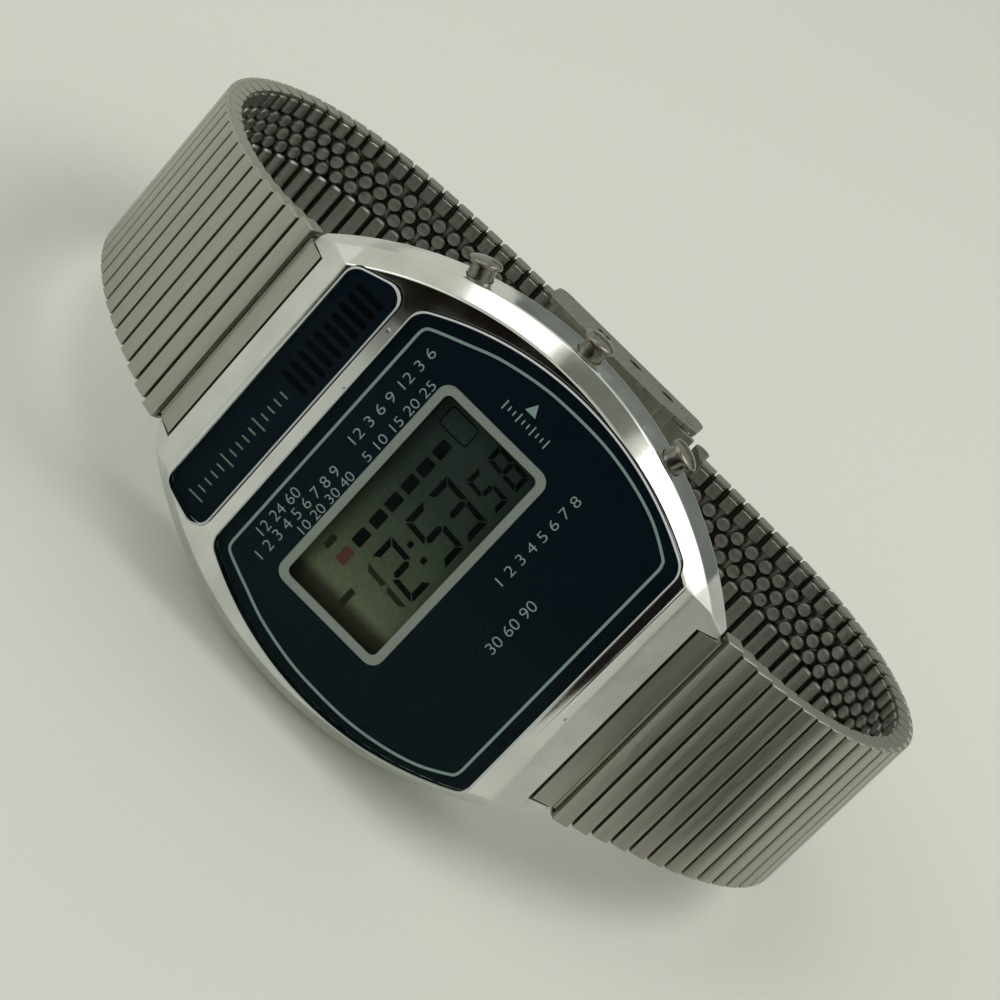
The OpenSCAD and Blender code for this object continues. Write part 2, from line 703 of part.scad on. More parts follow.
module blade_hinge_pin() {
    color(steel) across(fold_y12, fold_z12, clasp_pin_r, 2 * blade_half_w - 0.2);
}

// The closed loop is parted here, by a small gap between the inner blade and the 6 side's eye
inner_end = fold_y6 - 1.4;

module inner_blade() {
    color(steel) difference() {
        union() {
            for (s = [-1, 1]) translate([s * (blade_half_w * 0.75 + 0.05), 0, 0])
                across(fold_y12, fold_z12, eye_r, blade_half_w / 2 - 0.1);
            translate([-blade_half_w, fold_y12 - 1.9, inner_low]) mirror([0, 1, 0])
                cube([2 * blade_half_w, fold_y12 - 1.9 - inner_end, blade_t]);
            for (s = [-1, 1])
                translate([s * (blade_half_w * 0.75 + 0.05) - (blade_half_w / 4 - 0.05), fold_y12 - 2, inner_low]) cube([blade_half_w / 2 - 0.1, 2, blade_t]);
        }
        across(fold_y12, fold_z12, clasp_pin_r + fit, cover_w);
    }
}

module strap_end_pin() {
    color(steel) across(-end_6[0] + pin_lead, end_6[1] - drop_6, clasp_pin_r, 2 * strap_end_half - 0.1);
}

lying() case_middle();
lying() main_crystal();
lying() upper_crystal();
lying() dial_film();
lying() upper_film();
lying() display_frame();
lying() lcd_cell();
lying() lcd_reflector();
lying() contact_strips();
lying() module_frame();
lying() circuit_board();
lying() driver_chip();
lying() quartz_can();
lying() trimmer();
lying() backlight_lamp();
lying() battery();
lying() battery_clip();
lying() piezo_disc();
lying() piezo_spring();
lying() button_contacts();
lying() case_back();
lying() back_gasket();
lying() back_screws();
lying() pusher(1);  // pusher_upper
lying() pusher(0);  // pusher_middle
lying() pusher(-1);  // pusher_lower
lying() pusher_spring(1);  // pusher_spring_upper
lying() pusher_spring(0);  // pusher_spring_middle
lying() pusher_spring(-1);  // pusher_spring_lower
lying() pusher_seals();
lying() spring_bar();  // spring_bar_12
lying() mirror([0, 1, 0]) spring_bar();  // spring_bar_6
lying() end_link(path_12, angles_12, start_12);  // end_link_12
lying() mirror([0, 1, 0]) end_link(path_6, angles_6, start_6);  // end_link_6
lying() strap_12(1);  // strap_12_1
lying() strap_12(2);  // strap_12_2
lying() strap_12(3);  // strap_12_3
lying() strap_12(4);  // strap_12_4
lying() strap_12(5);  // strap_12_5
lying() strap_12(6);  // strap_12_6
lying() strap_12(7);  // strap_12_7
lying() strap_6(1);  // strap_6_1
lying() strap_6(2);  // strap_6_2
lying() strap_6(3);  // strap_6_3
lying() strap_6(4);  // strap_6_4
lying() strap_6(5);  // strap_6_5
lying() strap_6(6);  // strap_6_6
lying() strap_6(7);  // strap_6_7
lying() clasp_cover();
lying() clasp_spring_bar();
lying() clasp_hinge_pin();
lying() middle_blade();
lying() blade_hinge_pin();
lying() inner_blade();
lying() strap_end_pin();
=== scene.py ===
import math

import bmesh
import bpy
import numpy as np
from bpy.props import FloatProperty, PointerProperty, StringProperty
from mathutils import Matrix


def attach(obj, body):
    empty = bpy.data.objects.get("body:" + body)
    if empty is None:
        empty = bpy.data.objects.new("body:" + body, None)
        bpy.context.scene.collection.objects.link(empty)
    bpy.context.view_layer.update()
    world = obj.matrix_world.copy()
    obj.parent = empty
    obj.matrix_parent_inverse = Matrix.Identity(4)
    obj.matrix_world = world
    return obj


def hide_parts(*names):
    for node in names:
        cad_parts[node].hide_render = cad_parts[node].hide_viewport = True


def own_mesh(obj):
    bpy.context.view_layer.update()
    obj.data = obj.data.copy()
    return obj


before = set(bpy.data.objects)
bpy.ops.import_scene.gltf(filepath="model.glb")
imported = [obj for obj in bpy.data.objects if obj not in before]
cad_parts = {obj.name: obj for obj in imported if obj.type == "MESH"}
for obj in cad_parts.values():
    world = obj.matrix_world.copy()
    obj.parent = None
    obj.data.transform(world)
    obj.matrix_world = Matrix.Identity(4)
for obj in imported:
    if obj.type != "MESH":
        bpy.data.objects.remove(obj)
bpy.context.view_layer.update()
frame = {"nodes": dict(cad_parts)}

bl_info = {
    "name": "Digital bracelet watch",
    "version": (1, 0, 0),
    "blender": (4, 5, 0),
    "location": "3D View > Sidebar > Watch",
    "description": "Dresses a digital watch on a steel link bracelet, piece by piece",
    "category": "Object",
}

# Sizes in millimetres in the watch's own frame: X towards 3 o'clock, Y towards 12 o'clock, Z out of the glass
CASE_HALF_W = 16.5
SIDE_LOW = 4.2
GLASS_T = 1.1
BEVEL = 0.22
SLIP = 0.05
FILM_T = 0.1
MAIN_GLASS = dict(r=23.2, half_w=14.7, mid_y=-2.0, low=-14.3, top=10.3, corner=1.5)
UPPER_GLASS = dict(r=44.5, half_w=13.1, mid_y=0.0, low=11.15, top=15.5, corner=1.1)
FRAME_X, FRAME_Y, FRAME_W, FRAME_H, FRAME_RIM = -0.42, 0.9, 18.7, 9.7, 0.65
FRAME_CORNER, OPENING_CORNER = 0.95, 0.5
CELL_DEPTH = 2.1
# The case: where its flanks' axes stand, its side and end profiles as (radius or length, depth), and the
# wedge that flattens its slope at 6 o'clock, as (Y, depth)
AXIS = 11.5
FLANK = [(26.8, -7.4), (28.0, -4.2), (27.7, -1.75), (26.5, -0.5)]
END = [(16.95, -7.4), (18.9, -5.6), (18.9, -3.1), (17.6, -1.8), (15.75, -0.5)]
WEDGE = [(-14.9, -0.5), (-17.6, -1.8), (-18.2, 1.0), (-14.9, 1.0)]
CASE_CORNER, CAVITY_CORNER = 0.4, 0.3
WINDOW_LOW, CAVITY_R, CAVITY_L, CAVITY_TOP = -1.22, 25.5, 11.6, -2.02
SEAT, LUG_GAP, BAR_Y, BAR_Z, EYE_ROOM = 17.45, 17.1, 18.0, -3.9, 1.27
# Cutters reach from below the back to above the glass
CUT_LOW, CUT_TOP = -9.0, 1.0
# The pushers: depth of their axes, bearing of the middle one and step to the next in degrees
PUSHER_Z, PUSHER_LEAD, PUSHER_STEP = -3.1, 0.4, 18.4
# Profiles turned round a pusher's axis, as (radius, distance from the flank's axis): its bore with the seal's
# groove, the pusher up to its dome, and the clip on its stem. A solid one starts just off the axis
CORE, STEM_R, STEM_BORE, SEAL_R, SHANK_R, SHANK_BORE, CAP_R = 0.02, 0.6, 0.63, 0.95, 0.92, 0.98, 1.2
CAP_IN, CAP_SIDE, DOME_H, DOME_FLAT = 28.75, 0.18, 0.36, 0.05
BORE = [(CORE, 24.4), (STEM_BORE, 24.4), (STEM_BORE, 25.75), (SEAL_R, 25.75), (SEAL_R, 26.15),
        (STEM_BORE, 26.15), (STEM_BORE, 26.4), (SHANK_BORE, 26.4), (SHANK_BORE, 29.5), (CORE, 29.5)]
PUSHER = [(CORE, 24.8), (STEM_R, 24.8), (STEM_R, 25.24), (0.45, 25.24), (0.45, 25.48), (STEM_R, 25.48),
          (STEM_R, 27.6), (0.88, 27.6), (SHANK_R, 27.64), (SHANK_R, CAP_IN - 0.05), (0.97, CAP_IN),
          (1.16, CAP_IN), (CAP_R, CAP_IN + 0.03), (CAP_R, CAP_IN + CAP_SIDE)]
CLIP = [(0.47, 25.26), (1.05, 25.26), (1.05, 25.46), (0.47, 25.46)]
# The springs behind the shanks: their two ends at rest, their wire, and the share of length kept when pressed
SPRING_LOW, SPRING_HIGH, SPRING_R, WIRE_R, SPRING_KEEP = 26.42, 27.58, 0.78, 0.09, 0.4

# The bracelet's rows: pitch, outer strip, bars and the three columns of beads on each side of the middle bar
PITCH, ROW_GAP, STRIP_T = 1.58, 0.2, 0.45
BEAD_H, BEAD_R, BEAD_STEP = 1.05, 0.57, 1.07
MID_BAR_HALF = 2.2
SIDE_BAR = MID_BAR_HALF + 0.1 + 3 * BEAD_STEP + 0.14
BAR_NEAR, BAR_FAR, BAR_IN, BAR_ROUND = 0.19, 1.39, 0.25, 0.16
COLUMNS = MID_BAR_HALF + 0.65 + BEAD_STEP * np.arange(3)
STRIP_END, OVERLAP, CAP_T = 0.04, 0.02, 0.21
STRAP_W, STRAP_END_W, TAPER_L = 18.0, 14.6, 8.0
START = np.array([19.3, -3.45])
PIN_SINK, PIN_R, PIN_SHORT = 0.25, 0.24, 0.25
# The clasp: the eyes at the strap's ends and their pins, the cover's sheet and the blades folded under it
EYE_R, CLASP_PIN_R, PIN_PLAY, EYE_LEAD = 0.7, 0.38, 0.03, {"12": 1.5, "6": 0.55}
COVER_W, SHEET_T, BLADE_T, BLADE_GAP, CLASP_PLAY = 15.6, 0.4, 0.45, 0.4, 0.2
STRAPS = {
    "12": dict(start=-21.0, rows=(6, 6, 6, 6, 6, 6, 5), bends=(20, 24.5, 31.5, 34.5, 33.5, 13, 2), side=1),
    "6": dict(start=-28.0, rows=(5, 5, 5, 5, 5, 5, 6), bends=(6, 23, 32, 34, 30, 23, 4), side=-1),
}

# In a copy of a CAD node, points closer than WELD metres become one, and faces within FLAT degrees one face
WELD, FLAT = 2e-6, 0.6

# The stage, in metres. A card has its colour, its two ends in X, its near edge as (Y at each end, height) and
# its far edge as (Y, height). A lamp has its place, size and colour. Dark cards give the chrome its dark
# bands, pale ones its middle tones. Lamps point at the aim
FLOOR_HALF, AIM = 1.5, (0, 0, 0.015)
CARDS = {
    "black_card": ("#1A1513", (-0.25, 0.45), (-0.24, -0.24, 0.0005), (-0.26, 0.075)),
    "low_card": ("#262624", (0.05, 0.2), (-0.047, -0.170, 0.0006), (-0.01, 0.0006)),
    "near_card": ("#1E1B1A", (-0.006, 0.06), (-0.12, -0.12, 0.0006), (-0.125, 0.03)),
    "grey_card": ("#8C9292", (-0.1, 0.3), (0.30, 0.30, 0.0005), (0.30, 0.14)),
    "high_card": ("#A0A4A2", (-0.05, 0.08), (-0.12, -0.12, 0.37), (0.06, 0.37)),
}
LAMPS = {
    "key": ((0.22, 0.07, 0.38), 0.26, (1.0, 0.995, 0.98)),
    "top": ((-0.13, 0.03, 0.38), 0.14, (1.0, 0.995, 0.98)),
    "fill": ((-0.34, -0.21, 0.26), 0.30, (0.97, 0.99, 1.0)),
}
# The photograph's camera in the watch's own frame: its right, down and forward axes, where it sees the middle
# of the watch in millimetres, and its lens and sensor
VIEW_AXES = [(0.6446, -0.7076, -0.2894), (-0.6859, -0.7025, 0.1898), (-0.3377, 0.0761, -0.9382)]
VIEW_CENTRE = (-5.45, 2.38, 172.85)
LENS, SENSOR_W = 93.6, 36


def row_angles(start, rows, bends):
    """Angle of each row: the start, less the bends of the stretches before it and its share of its own."""
    before = np.repeat(np.cumsum(bends) - bends, rows)
    share = np.concatenate([(np.arange(n) + 0.5) / n for n in rows])
    return np.radians(start - before - np.repeat(bends, rows) * share)


for strap in STRAPS.values():
    strap["angle"] = row_angles(strap["start"], strap["rows"], strap["bends"])
    steps = PITCH * np.stack([np.cos(strap["angle"]), np.sin(strap["angle"])], 1)
    strap["path"] = np.vstack([START, START + np.cumsum(steps, 0)])
    along = PITCH * np.arange(len(steps) + 1)
    strap["width"] = STRAP_END_W + (STRAP_W - STRAP_END_W) * np.exp(-along / TAPER_L)

COVER_OUT = STRAPS["12"]["path"][-1][1] - STRIP_T - CLASP_PLAY - SHEET_T
INNER_LOW = STRAPS["12"]["path"][-1][1] + BEAD_H + CLASP_PLAY + BLADE_T + BLADE_GAP
TILT = math.atan((CASE_HALF_W - COVER_W / 2) / (-COVER_OUT - SIDE_LOW))


def lean(x, z):
    """Depth and height of a point of the watch when it lies on its flank and its clasp."""
    return x * math.sin(TILT) - z * math.cos(TILT), x * math.cos(TILT) + z * math.sin(TILT)


def reach(strap):
    """How far out along Y a strap half goes: the furthest outer corner of its strips."""
    a = strap["angle"][:, None]
    e = np.array([ROW_GAP / 2, PITCH - ROW_GAP / 2])
    return (strap["path"][:-1, :1] + e * np.cos(a) - STRIP_T * np.sin(a)).max()


MIDDLE = np.array([
    (reach(STRAPS["6"]) - reach(STRAPS["12"])) / 2,
    (lean(SLIP + BEVEL - MAIN_GLASS["half_w"], 0)[0] + lean(COVER_W / 2, COVER_OUT)[0]) / 2,
    lean(-CASE_HALF_W, -SIDE_LOW)[1],
])
TURN = np.array([
    [0, -1, 0],
    [math.sin(TILT), 0, -math.cos(TILT)],
    [math.cos(TILT), 0, math.sin(TILT)],
])


def laid(points):
    """Places points of the watch, in millimetres, into the lying object's frame, in metres."""
    return (np.asarray(points, float) @ TURN.T - MIDDLE) * 0.001


def linear(code):
    """Linear colour of an sRGB hex value."""
    c = np.array([int(code[i:i + 2], 16) for i in (1, 3, 5)]) / 255
    c = np.where(c <= 0.04045, c / 12.92, ((c + 0.055) / 1.055) ** 2.4)
    return (*c.tolist(), 1.0)


def add(tree, kind, links=None, stops=None, **settings):
    """Adds a shader node, gives it its settings, ramp stops and input values, and links the sockets given. A
    node as a value stands for its first output."""
    node = tree.nodes.new("ShaderNode" + kind)
    for key, value in settings.items():
        setattr(node, key, value)
    for i, (place, colour) in enumerate(stops or ()):
        stop = node.color_ramp.elements[i] if i < 2 else node.color_ramp.elements.new(place)
        stop.position = place
        stop.color = colour
    for socket, value in (links or {}).items():
        if isinstance(value, bpy.types.Node):
            value = value.outputs[0]
        if isinstance(value, bpy.types.NodeSocket):
            tree.links.new(value, node.inputs[socket])
        else:
            node.inputs[socket].default_value = value
    return node


def started(name):
    """A new node material, still empty."""
    mat = bpy.data.materials.new(name)
    mat.use_nodes = True
    mat.node_tree.nodes.clear()
    return mat, mat.node_tree


def watch_place(tree):
    """Object coordinates turned to the watch: X runs to 6 o'clock, Y into the case and Z to 3 o'clock."""
    mid = MIDDLE * 0.001
    coords = add(tree, "TexCoord").outputs["Object"]
    place = (
        mid[0],
        mid[1] * math.cos(TILT) - mid[2] * math.sin(TILT),
        mid[1] * math.sin(TILT) + mid[2] * math.cos(TILT),
    )
    return add(tree, "Mapping", {"Vector": coords, "Rotation": (TILT, 0, 0), "Location": place})


def surface(name, colour, metallic, rough, spread, grain, mottle, dents=0.0, along=(1, 1, 1), specular=0.5):
    """Colour and roughness wander with a noise of grain millimetres, scaled by along; dents is the height of
    its relief in millimetres."""
    mat, tree = started(name)
    place = add(tree, "Mapping", {"Vector": watch_place(tree), "Scale": along})
    noise = add(tree, "TexNoise", {"Vector": place, "Scale": 1000 / grain, "Detail": 4.0})
    base = np.array(linear(colour))
    low = (*(base[:3] * (1 - mottle)), 1.0)
    high = (*np.minimum(base[:3] * (1 + mottle), 1.0), 1.0)
    tint = add(tree, "ValToRGB", {"Fac": noise}, stops=[(0.3, low), (0.7, high)])
    gloss = add(tree, "MapRange", {
        "Value": noise, "From Min": 0.3, "From Max": 0.7,
        "To Min": rough - spread, "To Max": rough + spread,
    })
    links = {"Base Color": tint, "Metallic": metallic, "Roughness": gloss, "Specular IOR Level": specular}
    if dents:
        links["Normal"] = add(tree, "Bump", {"Height": noise, "Distance": dents * 0.001, "Strength": 1.0})
    shader = add(tree, "BsdfPrincipled", links)
    add(tree, "OutputMaterial", {"Surface": shader})
    return mat


def polished_chrome():
    """Polished chrome plate: mirror bright, with hairlines and small pits. The slopes at 12 and 6 o'clock,
    which begin 15.6 mm from the middle, are satin."""
    mat, tree = started("polished_chrome")
    place = watch_place(tree)
    apart = add(tree, "SeparateXYZ", {0: place})
    length = add(tree, "Math", {0: apart.outputs[0]}, operation="ABSOLUTE")
    slope = add(tree, "MapRange", {"Value": length, "From Min": 0.0156, "From Max": 0.0160})
    cloud = add(tree, "TexNoise", {"Vector": place, "Scale": 350.0, "Detail": 5.0})
    gloss = add(tree, "MapRange", {
        "Value": cloud, "From Min": 0.35, "From Max": 0.75, "To Min": 0.07, "To Max": 0.16,
    })
    rough = add(tree, "Math", {0: slope, 1: 0.42, 2: gloss}, operation="MULTIPLY_ADD")
    # Hairlines 0.05 mm apart run across the watch, and pits of about 0.3 mm lie scattered
    lines = add(tree, "Mapping", {"Vector": place, "Scale": (1.0, 1.0, 0.06)})
    hair = add(tree, "TexNoise", {"Vector": lines, "Scale": 9000.0, "Detail": 2.0})
    cells = add(tree, "TexVoronoi", {"Vector": place, "Scale": 700.0}).outputs["Distance"]
    pits = add(tree, "MapRange", {
        "Value": cells, "From Min": 0.06, "From Max": 0.16, "To Min": -1.0, "To Max": 0.0,
    })
    depth = add(tree, "Math", {0: cloud, 1: 0.56}, operation="GREATER_THAN")
    pitted = add(tree, "Math", {0: pits, 1: depth}, operation="MULTIPLY")
    height = add(tree, "Math", {0: hair, 1: 0.12, 2: pitted}, operation="MULTIPLY_ADD")
    bump = add(tree, "Bump", {"Height": height, "Distance": 0.00001, "Strength": 0.5})
    tint = add(tree, "ValToRGB", {"Fac": cloud}, stops=[(0.3, linear("#CFD0CD")), (0.75, linear("#E2E3E0"))])
    links = {"Base Color": tint, "Metallic": 1.0, "Roughness": rough, "Normal": bump}
    shader = add(tree, "BsdfPrincipled", links)
    add(tree, "OutputMaterial", {"Surface": shader})
    return mat


def mineral_glass():
    """Hardened mineral glass, polished and bloomed: clear, with a faint sheen that grows at a flat angle."""
    mat, tree = started("mineral_glass")
    clear = add(tree, "BsdfTransparent", {"Color": linear("#F4F8F8")})
    place = watch_place(tree)
    smear = add(tree, "TexNoise", {"Vector": place, "Scale": 260.0, "Detail": 3.0})
    gloss = add(tree, "MapRange", {
        "Value": smear, "From Min": 0.4, "From Max": 0.7, "To Min": 0.01, "To Max": 0.03,
    })
    sheen = add(tree, "BsdfGlossy", {"Color": linear("#FFFFFF"), "Roughness": gloss})
    edge_on = add(tree, "LayerWeight", {"Blend": 0.5}).outputs["Facing"]
    rise = add(tree, "Math", {0: edge_on, 1: 5.0}, operation="POWER")
    share = add(tree, "Math", {0: rise, 1: 0.6, 2: 0.001}, operation="MULTIPLY_ADD")
    mixed = add(tree, "MixShader", {0: share, 1: clear, 2: sheen})
    add(tree, "OutputMaterial", {"Surface": mixed})
    return mat


def screened_ink_and_painted_reflection(name, left, right):
    """Ink screened behind the glass: deep navy from the left colour to the right one, faintly mottled. The
    lighter left side is a painted reflection.
    """
    mat, tree = started(name)
    place = watch_place(tree)
    apart = add(tree, "SeparateXYZ", {0: place})
    # Painted reflection: the ink lightens from the right colour towards the left one
    sideways = add(tree, "MapRange", {
        "Value": apart.outputs[2], "From Min": -0.013, "From Max": 0.013, "To Min": 0.0, "To Max": 0.85,
    })
    cloud = add(tree, "TexNoise", {"Vector": place, "Scale": 420.0, "Detail": 3.0})
    where = add(tree, "Math", {0: cloud, 1: 0.15, 2: sideways}, operation="MULTIPLY_ADD")
    tint = add(tree, "ValToRGB", {"Fac": where}, stops=[(0.0, linear(left)), (1.0, linear(right))])
    shader = add(tree, "BsdfPrincipled", {"Base Color": tint, "Roughness": 0.55, "Specular IOR Level": 0.1})
    add(tree, "OutputMaterial", {"Surface": shader})
    return mat


def display_glass():
    """Liquid crystal cell over foil: dark greenish grey. It is lighter and warmer to the left by a painted
    reflection, darker in a narrow band at its left edge, and has a painted shadow along its top edge.
    """
    mat, tree = started("display_glass")
    place = watch_place(tree)
    apart = add(tree, "SeparateXYZ", {0: place})
    sideways = add(tree, "MapRange", {"Value": apart.outputs[2], "From Min": -0.0098, "From Max": 0.0085})
    # Painted reflection: the ramp lightens and warms the cell left of the middle; the narrow band at its left
    # edge is darker
    tint = add(tree, "ValToRGB", {"Fac": sideways}, stops=[
        (0.0, linear("#2E2C20")), (1.0, linear("#26302A")), (0.08, linear("#403E2E")),
        (0.12, linear("#74755A")), (0.30, linear("#596049")), (0.6, linear("#354036")),
    ])
    # Painted shadow: the cell darkens to 0.35 of its colour towards its top edge
    painted_top_shadow = add(tree, "MapRange", {
        "Value": apart.outputs[0], "From Min": -0.0054, "From Max": -0.0040, "To Min": 0.35, "To Max": 1.0,
    })
    grain = add(tree, "TexNoise", {"Vector": place, "Scale": 3500.0, "Detail": 3.0})
    speck = add(tree, "MapRange", {
        "Value": grain, "From Min": 0.3, "From Max": 0.7, "To Min": 0.86, "To Max": 1.12,
    })
    # The painted shadow times the cell's speckle scales the tint
    level = add(tree, "Math", {0: painted_top_shadow, 1: speck}, operation="MULTIPLY")
    lit = add(tree, "VectorMath", {0: tint, 1: level}, operation="MULTIPLY")
    shader = add(tree, "BsdfPrincipled", {"Base Color": lit, "Roughness": 0.6, "Specular IOR Level": 0.15})
    add(tree, "OutputMaterial", {"Surface": shader})
    return mat


MATERIALS = {}


def make_materials(colours):
    """Makes each finish once, by its name. After its colour, a surface has its metallic, its roughness and
    how far that wanders, its grain in mm, its mottle, its relief in mm and how it is brushed."""
    brushed = (1.0, 1.0, 0.05)
    MATERIALS.update({
        "chrome": polished_chrome(),
        # Rolled stainless strip, brushed along each strip: a soft warm sheen with fine lines across the strap
        "strip": surface("brushed_strip_steel", colours.strip, 1.0, 0.38, 0.04, 0.12, 0.08, 0.003, brushed),
        # Stamped bars and beads of the inner side, tumbled: greyer and duller than the strips
        "bar": surface("tumbled_steel", colours.bar, 1.0, 0.42, 0.08, 0.25, 0.14, 0.006),
        # Folded clasp sheet, satin with handling marks
        "sheet": surface("satin_clasp_steel", colours.clasp, 1.0, 0.34, 0.08, 0.3, 0.12, 0.005, brushed),
        # Hinge pins between the rows, made dark to paint the shade in the grooves between the strips
        "pin": surface("oiled_pin_steel", "#35332E", 0.6, 0.6, 0.08, 0.2, 0.15),
        # Ground edge of the glass, where it catches the light
        "ground": surface("ground_glass_edge", "#C3C9C6", 0.0, 0.3, 0.06, 0.1, 0.1),
        # Turned pusher heads, their plating worn to a brownish nickel and darkened further to paint the dark
        # reflections they show
        "pusher": surface("worn_nickel_plate", "#827F77", 1.0, 0.24, 0.08, 0.4, 0.2, 0.005),
        # Turned pins and screws, bare and bright
        "turned": surface("turned_steel", "#B4B4B0", 1.0, 0.25, 0.06, 0.2, 0.06, 0.002),
        # Case back, circular ground to a plain satin
        "back": surface("ground_back_steel", "#AEAEAA", 1.0, 0.32, 0.07, 0.2, 0.06, 0.003, (1.0, 1.0, 0.2)),
        "glass": mineral_glass(),
        # Films behind the glasses, the upper one a little bluer, each lighter to the left by a painted
        # reflection
        "main_film": screened_ink_and_painted_reflection("navy_dial_ink", "#0E1D22", "#01111F"),
        "upper_film": screened_ink_and_painted_reflection("navy_upper_ink", "#0B1A24", "#041624"),
        # Silver screen ink with metal flake
        "silver": surface("silver_frame_ink", colours.frame, 0.3, 0.5, 0.06, 0.12, 0.16, 0.003),
        # Pale screen ink of the lines and figures
        "ink": surface("pale_screen_ink", colours.ink, 0.0, 0.5, 0.05, 0.15, 0.08, specular=0.1),
        # Denser inks of the grille bars, the first block and the upper scale, all matt
        "grille": surface("black_screen_ink", "#030507", 0.0, 0.5, 0.05, 0.15, 0.08, specular=0.05),
        "accent": surface("red_screen_ink", "#6B3F34", 0.0, 0.5, 0.05, 0.15, 0.08, specular=0.1),
        "label": surface("grey_screen_ink", "#8E9386", 0.0, 0.5, 0.05, 0.15, 0.08, specular=0.1),
        "display": display_glass(),
        # Switched crystal: near black, matt
        "segment": surface("switched_crystal", colours.segment, 0.0, 0.55, 0.05, 0.2, 0.15, specular=0.05),
        # Crystal that is hardly switched: a thin greenish grey
        "faint": surface("fading_crystal", "#2F3226", 0.0, 0.55, 0.05, 0.2, 0.15, specular=0.05),
        # Brushed foil behind the cell
        "foil": surface("brushed_foil", "#8D8F80", 0.8, 0.5, 0.08, 0.2, 0.08, 0.003, brushed),
        # Black rubber, matt: moulded seals, and strips of fine conductive layers that show as stripes
        "rubber": surface("moulded_rubber", "#141414", 0.0, 0.7, 0.08, 0.3, 0.12, 0.003),
        "stripe": surface(
            "layered_conductive_rubber", "#3A3A40", 0.0, 0.65, 0.08, 0.15, 0.25, 0.002, (1, 1, 6)),
        # Injection moulded module frame, ivory ABS
        "resin": surface("moulded_ivory_abs", "#D8D5C6", 0.0, 0.5, 0.08, 0.8, 0.04, 0.003),
        # Solder mask over glass cloth laminate
        "board": surface("green_solder_mask", "#1F4A2C", 0.0, 0.35, 0.08, 0.6, 0.18, 0.003),
        # Epoxy glob over the chip
        "epoxy": surface("black_glob_epoxy", "#0C0C0C", 0.0, 0.3, 0.08, 0.5, 0.2, 0.004),
        # Drawn can of the crystal and the cell
        "can": surface("drawn_nickel_can", "#BDBDBD", 1.0, 0.28, 0.06, 0.3, 0.05, 0.002),
        # Spring brass, stamped
        "brass": surface("stamped_spring_brass", "#C9B262", 1.0, 0.3, 0.08, 0.3, 0.10, 0.003),
        # Bulb glass of the lamp
        "lamp": surface("milky_lamp_glass", "#EFE6C0", 0.0, 0.15, 0.05, 0.4, 0.04),
    })


def tubes(rings, ring=False):
    """Closed bodies: in each copy, section s joins section s + 1, place by place, and the end sections are
    capped, or joined to each other for a ring."""
    b, s, k = rings.shape[:3]
    i = np.arange(s if ring else s - 1)[:, None]
    j = np.arange(k)[None, :]
    n = (j + 1) % k
    up = (i + 1) % s
    quads = np.stack([i * k + j, i * k + n, up * k + n, up * k + j], -1).reshape(-1, 4)
    lift = (np.arange(b) * s * k)[:, None, None]
    faces = (quads + lift).reshape(-1, 4).tolist()
    if not ring:
        caps = np.stack([np.arange(k)[::-1], (s - 1) * k + np.arange(k)])
        faces += (caps + lift).reshape(-1, k).tolist()
    return rings.reshape(-1, 3), faces


def joined(parts):
    """Several (points, faces) put into one list of points and one of faces."""
    points, faces, lift = [], [], 0
    for p, f in parts:
        points.append(p)
        faces += [[v + lift for v in face] for face in f]
        lift += len(p)
    return np.vstack(points), faces


def closed_mesh(points, faces):
    """A mesh of these points and faces, with its normals turned outwards."""
    mesh = bpy.data.meshes.new("blank")
    mesh.from_pydata(points.tolist(), [], faces)
    bm = bmesh.new()
    bm.from_mesh(mesh)
    bmesh.ops.recalc_face_normals(bm, faces=bm.faces)
    bm.to_mesh(mesh)
    bm.free()
    return mesh


def in_scene(name, data):
    """A new object with this data, put into the scene."""
    obj = bpy.data.objects.new(name, data)
    bpy.context.scene.collection.objects.link(obj)
    return obj


def as_piece(name, mesh, mat, body, hides, smooth):
    """Makes a mesh a piece, smooth up to an angle in degrees, with finish, body and replaced nodes."""
    mesh.name = name
    mesh.polygons.foreach_set("use_smooth", np.ones(len(mesh.polygons), bool))
    mesh.set_sharp_from_angle(angle=math.radians(smooth))
    mesh.materials.clear()
    mesh.materials.append(MATERIALS[mat])
    obj = in_scene(name, mesh)
    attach(obj, body)
    if hides:
        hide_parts(*hides)
    return obj


def shown(name, parts, mat, body, hides=(), smooth=30.0):
    """Makes one piece of closed (points, faces) parts, placed in its mesh."""
    points, faces = joined(parts)
    return as_piece(name, closed_mesh(laid(points), faces), mat, body, hides, smooth)


def dressed(node, mat, body, width, angle=28.0):
    """A merged copy of a CAD node whose sharp edges are rounded to this width in millimetres."""
    mesh = frame["nodes"][node].data.copy()
    bm = bmesh.new()
    bm.from_mesh(mesh)
    bmesh.ops.remove_doubles(bm, verts=bm.verts, dist=WELD)
    bmesh.ops.dissolve_limit(bm, angle_limit=math.radians(FLAT), verts=bm.verts, edges=bm.edges)
    bm.to_mesh(mesh)
    bm.free()
    obj = as_piece(node + "_finished", mesh, mat, body, (node,), angle)
    edge = obj.modifiers.new("Rounded edges", "BEVEL")
    edge.width = width * 0.001
    edge.segments = 2
    edge.limit_method = "ANGLE"
    edge.angle_limit = math.radians(angle)
    edge.harden_normals = True
    edge.use_clamp_overlap = True


def coated(mat, *nodes):
    """Gives CAD nodes that keep their own mesh this finish."""
    for node in nodes:
        data = frame["nodes"][node].data
        data.materials.clear()
        data.materials.append(MATERIALS[mat])


